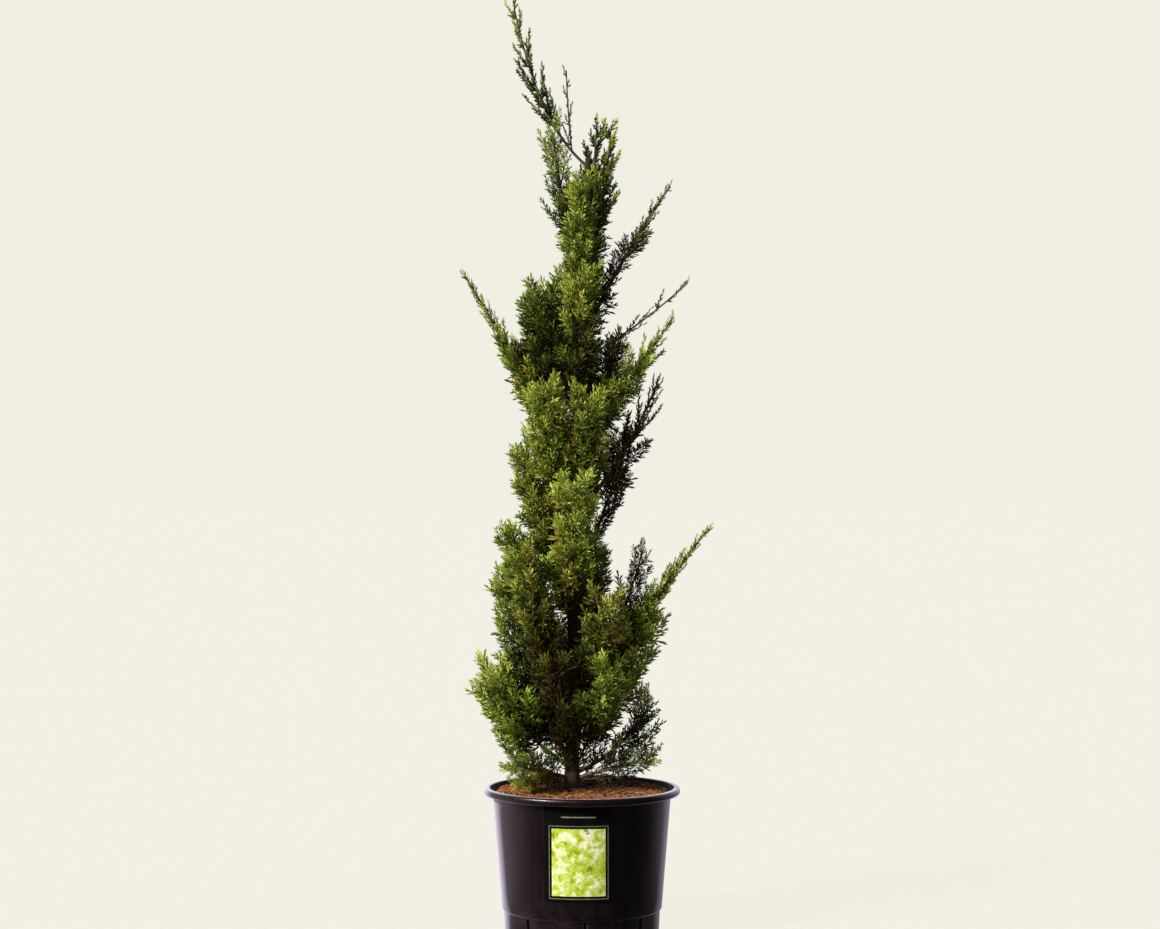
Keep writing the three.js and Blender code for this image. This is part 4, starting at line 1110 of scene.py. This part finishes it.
INNER_SEEDS = 500
INNER_END = 0.8
INNER_SHARE = 0.2
INNER_VARIED = (0.6, 0.3)
INNER_WHIP = 0.3
INNER_MOST_WHIPPY = 0.4
INNER_MOST_DEAD = 0.3
INNER_LEAST_TONE = -0.4
MOTTLE_SCALE = 150
MOTTLE_SHADES = (0.35, 0.65, 0, 1)
LEAF_ROUGHNESS = (0, 1, 0.62, 0.5)
# Painted light and shade: a spray's brightness, which picks its tint, rises as it faces the sun side, stands
# out from the trunk, sits towards its twig's tip and in the upper half of a spray, and by chance.
SUN_LIGHT = 0.18
OUTER_LIGHT = 0.35
SHARE_LIGHT = 0.7
CHANCE_LIGHT = 0.6
SUN_SIDE = unit(np.array([-0.85, -0.45, 0.2]))
UPPER_HALF_LIGHT = 0.12
LOWER_HALF_LIGHT = UPPER_HALF_LIGHT * -1.2
WHIP_FROM = 0.5
TINT_SHARES = (0.05, 0.24, 0.43, 0.61, 0.77, 0.91)
CROWN_HEIGHTS = (0.23, 0.35, 0.5, 0.8, 1.0, 1.15, 1.45)
CROWN_RADII = (0.13, 0.15, 0.13, 0.105, 0.075, 0.045, 0.03)
CROWN_OVER = 1.3
CROWN_LEAST = 0.02
NO_LIMIT = 9
WARM_FROM = 0.5
ANY_HUE = (-NO_LIMIT, NO_LIMIT)
GREEN = (-NO_LIMIT, WARM_FROM)
BROWN = (WARM_FROM, NO_LIMIT)


def spray_pattern(seed, side_cords, girth, first, last, belly):
    """Part of a spray one unit long: cords of three sides, one along the middle and the rest to its sides."""
    random = random_run(seed)
    shape = bmesh.new()
    cords = [(Vector((0, 0, 0)), Vector((stray(random, SPINE_STRAY), 1, SPINE_LIFT)), SPINE_GIRTH * girth)]
    for number in range(side_cords):
        share = number / side_cords
        height = CORD_HEIGHTS[0] + CORD_HEIGHTS[1] * number / side_cords
        lean = math.radians(between(*CORD_LEANS, share) + stray(random, CORD_LEAN_STRAY))
        sideways = math.sin(lean) * (1 if number % 2 else -1)
        lift = stray(random, CORD_LIFT_STRAY)
        reach = between(*CORD_REACHES, share) * from_least(CORD_VARIED, next(random))
        heading = Vector((sideways, math.cos(lean), lift)).normalized()
        cords.append((Vector((0, height, SPINE_LIFT * height)), heading * reach, girth))
    for root, reach, radius in cords[1:][first:last] + cords[:1] * (last == side_cords):
        length = reach.length * (1 - belly)
        made = bmesh.ops.create_cone(
            shape, cap_ends=True, segments=CORD_SIDES, radius1=radius, radius2=0, depth=length
        )["verts"]
        bmesh.ops.translate(shape, verts=made, vec=(0, 0, reach.length - length / 2))
        if belly:
            bottom = [face for face in made[0].link_faces if abs(face.normal.z) > END_FACING]
            made += bmesh.ops.poke(shape, faces=bottom, offset=reach.length * belly)["verts"]
        facing = reach.to_track_quat("Z", "Y").to_matrix()
        bmesh.ops.rotate(shape, verts=made, cent=(0, 0, 0), matrix=facing)
        bmesh.ops.translate(shape, verts=made, vec=root)
    bmesh.ops.remove_doubles(shape, verts=shape.verts[:], dist=CORD_CLOSE)
    return arrays_of(shape)


def spray_row(twig):
    """Sprays along a twig: place, heading, sideways, length, share, slimness, painted light, two chances,
    warmth.
    """
    random = twig["random"]
    pitch = between(SPRAY_PITCH, WHIP_SPRAY_PITCH, twig["slim"])
    count = max(2, round(curve_length(twig["curve"], TWIG_TRAIL) / pitch))
    full_length = between(SPRAY_LENGTH, WHIP_SPRAY_LENGTH, twig["slim"])
    tone = twig["tone"] + stray(random, TONE_STRAY)
    row = []
    if not twig["leafy"]:
        count = max(2, round(count * THIN_SHARE))
        full_length = THIN_SPRAY_LENGTH
        tone += THIN_TONE
    for number in range(count + 1):
        share = between(between(*SPRAY_STARTS, twig["slim"]), SPRAY_END, number / count)
        place = curve_point(twig["curve"], share)
        along = heading_along(twig["curve"], share - SPRAY_AHEAD, share + SPRAY_AHEAD)
        turn = number * SPRAY_TURN + SPRAY_TURN_VARIED * next(random)
        aside = turned_aside(along, twig["out"], turn)
        spread = SPRAY_SPREAD * (1 - SPRAY_CLOSING * share) * from_least(SPREAD_VARIED, next(random))
        spread *= between(1, WHIP_SPREAD, twig["slim"]) if number < count else TIP_SPREAD
        heading = unit(along * math.cos(spread) + aside * math.sin(spread) + UP * SPRAY_LIFT)
        sideways = np.cross(along, aside) + SPRAY_ROLL * aside * (next(random) - 0.5)
        length = full_length * from_least(LENGTH_VARIED, next(random))
        length = length * from_least(LENGTH_BY_TWIG, twig["size"]) * from_least(LENGTH_BY_SHARE, share)
        chances = (next(random), next(random), twig["warm"] + stray(random, SPRAY_WARMTH_STRAY))
        slim = twig["slim"] if twig["leafy"] else 1
        row.append([*place, *heading, *sideways, length, share, slim, tone, *chances])
    return row


def inner_row(plume):
    """Sprays on the stem itself, in the shade of the twigs, in the form of the rows above."""
    random = random_run(plume["seed"] + INNER_SEEDS)
    row = []
    bushy = plume["whippy"] < INNER_MOST_WHIPPY and plume["dead"] < INNER_MOST_DEAD
    if bushy and plume["tone"] > INNER_LEAST_TONE:
        count = round(plume["length"] * (1 - plume["stem_start"]) / INNER_PITCH)
        for number in range(count):
            share = between(plume["clear"], INNER_END, number / count)
            on_limb = between(plume["stem_start"], 1, share)
            place = curve_point(plume["curve"], on_limb)
            along = heading_along(plume["curve"], on_limb - SPRAY_AHEAD, on_limb + SPRAY_AHEAD)
            aside = turned_aside(along, plume["outward"], number * GOLDEN_ANGLE)
            heading = unit(along * math.cos(INNER_SPREAD) + aside * math.sin(INNER_SPREAD))
            sideways = np.cross(along, aside)
            length = plume["girth"] * swell(plume, share) * from_least(INNER_VARIED, next(random))
            length = length * between(1, INNER_WHIP, slimness(plume, share))
            tone = plume["tone"] + TIP_LIGHT * (share - INNER_END)
            chances = (next(random), next(random), plume["warm"] + next(random) - 0.5)
            row.append([*place, *heading, *sideways, length, INNER_SHARE, 0, tone, *chances])
    return row


rows = [spray_row(twig) for twig in twigs] + [inner_row(plume) for plume in plumes.values()]
sprays = np.array([spray for row in rows for spray in row])
places, headings, sideways = sprays[:, 0:3], sprays[:, 3:6], sprays[:, 6:9]
lengths, shares, slims, tones, spray_chances, pattern_chances, warmths = sprays[:, 9:16].T

# Painted light and shade: each spray's brightness, from the sun side, the crown's edge, its place on the
# twig, its plume and chance. Its steps deal out the tints.
trunk_shares = np.clip((places[:, 2] - GROUND) / (TRUNK_TOP - GROUND), 0, 1)
trunk_middles = np.array([trunk_axis(share) for share in trunk_shares])
from_trunk = (places + headings * lengths[:, None] - trunk_middles) * [1, 1, 0]
distances = np.linalg.norm(from_trunk, axis=1)
outer = np.clip(distances / np.interp(places[:, 2], CROWN_HEIGHTS, CROWN_RADII), 0, CROWN_OVER)
sunny = (from_trunk / np.maximum(distances, CROWN_LEAST)[:, None]) @ SUN_SIDE
brightness = SUN_LIGHT * sunny + OUTER_LIGHT * outer + SHARE_LIGHT * shares + tones
brightness = brightness + CHANCE_LIGHT * spray_chances
tint_steps = [-NO_LIMIT, *np.quantile(brightness, TINT_SHARES), NO_LIMIT]

leaf_mottle, mottle_in, mottle_out = new_effect("leaf_mottle", ("Scale",), ("Shade", "Relief"))
mottle_place = add(leaf_mottle, "TexCoord").outputs["Object"]
mottle_inputs = {"Vector": mottle_place, "Scale": mottle_in.outputs["Scale"], "Detail": 2}
mottle_noise = add(leaf_mottle, "TexNoise", mottle_inputs).outputs[0]
mottle_shade = ranged(leaf_mottle, mottle_noise, *MOTTLE_SHADES)
feed(leaf_mottle, mottle_out, {"Shade": mottle_shade, "Relief": mottle_noise})


def leaf_finish(name, dark, light):
    """Waxy scale leaves between two close colours."""
    finish, tree, shader = new_finish(name, 0.5)
    mottle = add(tree, "Group", {"Scale": MOTTLE_SCALE}, node_tree=leaf_mottle).outputs
    colour = mixed(tree, mottle["Shade"], dark, light)
    rough = ranged(tree, mottle["Shade"], *LEAF_ROUGHNESS)
    feed(tree, shader, {"Base Color": colour, "Roughness": rough, "Specular IOR Level": 0.2})
    bumped(tree, shader, mottle["Relief"], 0.4, 0.0006)
    return finish


def spray_patterns(first_share, last_share):
    """Patterns of one part of a spray: some bushy, then some for whips."""
    made = []
    first_seed, seed_step = PATTERN_SEEDS
    kinds = ((BUSHY_CORDS, CORD_RADIUS, CORD_BELLY), (WHIP_CORDS, WHIP_CORD_RADIUS, 0))
    for side_cords, girth, belly in kinds:
        seed = first_seed + seed_step * side_cords
        first, last = round(side_cords * first_share), round(side_cords * last_share)
        made += [spray_pattern(seed + number, side_cords, girth, first, last, belly)
                 for number in range(PATTERNS_EACH)]
    return made


dealt_patterns = np.floor(pattern_chances * PATTERNS_EACH) + PATTERNS_EACH * (slims > WHIP_FROM)
spray_halves = ((spray_patterns(0, 0.5), LOWER_HALF_LIGHT), (spray_patterns(0.5, 1), UPPER_HALF_LIGHT))
# Lit and shaded copies of the leaf colours, one for each step of the painted brightness from deepest shade to
# sunlit, in green and in brown.
SPRAY_TINTS = (
    ("bronzed_darkest_shade_sprays", 0, ANY_HUE, (0.04, 0.022, 0.007, 1), (0.09, 0.058, 0.014, 1)),
    ("deep_shade_sprays", 1, ANY_HUE, (0.028, 0.017, 0.006, 1), (0.034, 0.032, 0.006, 1)),
    ("shaded_green_sprays", 2, GREEN, (0.022, 0.037, 0.002, 1), (0.05, 0.062, 0.008, 1)),
    ("shaded_brown_sprays", 2, BROWN, (0.045, 0.034, 0.004, 1), (0.066, 0.054, 0.01, 1)),
    ("olive_green_sprays", 3, GREEN, (0.042, 0.078, 0.003, 1), (0.09, 0.118, 0.015, 1)),
    ("olive_brown_sprays", 3, BROWN, (0.085, 0.07, 0.005, 1), (0.12, 0.104, 0.018, 1)),
    ("green_sprays", 4, GREEN, (0.075, 0.14, 0.004, 1), (0.15, 0.195, 0.026, 1)),
    ("yellowed_sprays", 4, BROWN, (0.15, 0.135, 0.008, 1), (0.2, 0.18, 0.034, 1)),
    ("lit_green_sprays", 5, GREEN, (0.13, 0.215, 0.007, 1), (0.24, 0.3, 0.045, 1)),
    ("lit_golden_sprays", 5, BROWN, (0.26, 0.24, 0.015, 1), (0.34, 0.31, 0.06, 1)),
    ("sunlit_sprays", 6, ANY_HUE, (0.28, 0.36, 0.025, 1), (0.46, 0.5, 0.1, 1)),
)
for name, step, (coolest, warmest), dark, light in SPRAY_TINTS:
    least, most = tint_steps[step], tint_steps[step + 1]
    in_hue = (warmths >= coolest) & (warmths < warmest)
    groups = []
    for patterns, lighter in spray_halves:
        chosen = in_hue & (brightness + lighter >= least) & (brightness + lighter < most)
        for number, pattern in enumerate(patterns):
            dealt = chosen & (dealt_patterns == number)
            size = np.repeat(lengths[dealt, None], 3, axis=1)
            groups.append(laid_out(pattern, places[dealt], sideways[dealt], headings[dealt], size))
    seat(name, joined_mesh(name, groups), leaf_finish(name, dark, light), "foliage", *foliage_nodes)


# Studio: a plain cream floor that runs into a cream backdrop, one soft key light from the left and front,
# a faint light from all round, and a camera level with the middle of the plant.
CREAM = (0.879, 0.855, 0.775, 1)
CAMERA_DISTANCE = 3.770
CAMERA_HEIGHT = 0.713
CAMERA_X = -0.003
METRES_PER_PIXEL = 0.0015306
PHOTO_WIDTH = 1160
SENSOR_WIDTH = 36
FAR_CLIP = 200
FLOOR_RADIUS = 40
FLOOR_SIDES = 96
FLOOR_DROP = 0.0004
FLOOR_CREASE = 30
FLOOR_DARK = (0.03, 0.029, 0.0265, 1)
FLOOR_LIGHT = (0.031, 0.03, 0.0275, 1)
FLOOR_MIRRORED = (1.0, 0.82, 0.95, 1)
MIRRORED_LEFT = (-0.25, 0.1, 0.68, 0.4)
MIRRORED_BACK = (-0.16, 0.24, 0, 1)
BACK_SLANT = -0.3
FLOOR_SOFT_GLOW = 0.35
FLOOR_SEEN_GLOW = 0.97
SKY_MIRRORED = (0.86, 0.86, 1.0, 1)
SKY_BEHIND = (0.1, 0.9, 0.05, 1.5)
SKY_SOFT = (1.0, 0.97, 0.97, 1)
SKY_SOFT_STRENGTH = 0.35
KEY_TOWARDS = Vector((0.76, 0.54, -0.66))
KEY_ENERGY = 5.4
KEY_WIDTH = math.radians(10)
KEY_COLOUR = (1.0, 0.97, 0.88)

floor_shape = bmesh.new()
bmesh.ops.create_circle(floor_shape, cap_ends=True, segments=FLOOR_SIDES, radius=FLOOR_RADIUS)
bmesh.ops.translate(floor_shape, verts=floor_shape.verts[:], vec=(0, 0, -FLOOR_DROP))
floor_mesh = smooth_mesh("studio_floor", floor_shape, FLOOR_CREASE)
floor_finish, floor_tree, floor_shader = new_finish("cream_floor", 0.9)
floor_place = add(floor_tree, "TexCoord").outputs["Object"]
floor_cloud = add(floor_tree, "TexNoise", {"Vector": floor_place, "Scale": 3, "Detail": 3}).outputs[0]
floor_colour = mixed(floor_tree, floor_cloud, FLOOR_DARK, FLOOR_LIGHT)
floor_rays = add(floor_tree, "LightPath").outputs
floor_tint = mixed(floor_tree, floor_rays["Is Glossy Ray"], CREAM, FLOOR_MIRRORED)
floor_parts = add(floor_tree, "SeparateXYZ", {0: floor_place}).outputs
floor_left = ranged(floor_tree, floor_parts["X"], *MIRRORED_LEFT)
floor_turn = computed(floor_tree, "MULTIPLY_ADD", floor_parts["X"], BACK_SLANT, floor_parts["Y"])
floor_side = computed(floor_tree, "MULTIPLY", floor_left, ranged(floor_tree, floor_turn, *MIRRORED_BACK))
floor_glow = computed(floor_tree, "MULTIPLY", floor_rays["Is Glossy Ray"], floor_side)
floor_glow = computed(floor_tree, "MULTIPLY_ADD", floor_rays["Is Diffuse Ray"], FLOOR_SOFT_GLOW, floor_glow)
floor_glow = computed(floor_tree, "MULTIPLY_ADD", floor_rays["Is Camera Ray"], FLOOR_SEEN_GLOW, floor_glow)
feed(floor_tree, floor_shader, {"Base Color": floor_colour, "Specular IOR Level": 0})
feed(floor_tree, floor_shader, {"Emission Color": floor_tint, "Emission Strength": floor_glow})
floor_mesh.materials.append(floor_finish)
studio_floor = bpy.data.objects.new("studio_floor", floor_mesh)
bpy.context.collection.objects.link(studio_floor)
studio_floor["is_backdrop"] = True

studio_world = bpy.data.worlds.new("studio_backdrop")
studio_world.use_nodes = True
world_tree = studio_world.node_tree
world_tree.nodes.clear()
rays = add(world_tree, "LightPath").outputs
sky_back = add(world_tree, "SeparateXYZ", {0: add(world_tree, "TexCoord").outputs["Generated"]}).outputs["Y"]
behind = ranged(world_tree, sky_back, *SKY_BEHIND)
seen = add(world_tree, "Background", {"Color": CREAM, "Strength": 1.0}).outputs[0]
gloss = add(world_tree, "Background", {"Color": SKY_MIRRORED, "Strength": behind}).outputs[0]
soft = add(world_tree, "Background", {"Color": SKY_SOFT, "Strength": SKY_SOFT_STRENGTH}).outputs[0]
unseen = add(world_tree, "MixShader", {0: rays["Is Glossy Ray"], 1: soft, 2: gloss}).outputs[0]
whole = add(world_tree, "MixShader", {0: rays["Is Camera Ray"], 1: unseen, 2: seen}).outputs[0]
add(world_tree, "OutputWorld", {"Surface": whole})
bpy.context.scene.world = studio_world

key_lamp = bpy.data.lights.new("key_light", "SUN")
key_lamp.energy = KEY_ENERGY
key_lamp.angle = KEY_WIDTH
key_lamp.color = KEY_COLOUR
key_light = bpy.data.objects.new("key_light", key_lamp)
key_light.rotation_euler = KEY_TOWARDS.to_track_quat("-Z", "Y").to_euler()
bpy.context.collection.objects.link(key_light)

camera_data = bpy.data.cameras.new("photo_camera")
camera_data.sensor_fit = "HORIZONTAL"
camera_data.sensor_width = SENSOR_WIDTH
camera_data.lens = SENSOR_WIDTH * CAMERA_DISTANCE / (PHOTO_WIDTH * METRES_PER_PIXEL)
camera_data.clip_end = FAR_CLIP
camera = bpy.data.objects.new("photo_camera", camera_data)
camera.location = (CAMERA_X, -CAMERA_DISTANCE, CAMERA_HEIGHT)
camera.rotation_euler = (math.pi / 2, 0, 0)
bpy.context.collection.objects.link(camera)
bpy.context.scene.camera = camera
bpy.context.scene.view_settings.view_transform = "Standard"

bpy.context.view_layer.update()
visual_low, visual_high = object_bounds()
sizes = {"cad": [list(cad_low), list(cad_high)], "visual": [list(visual_low), list(visual_high)]}
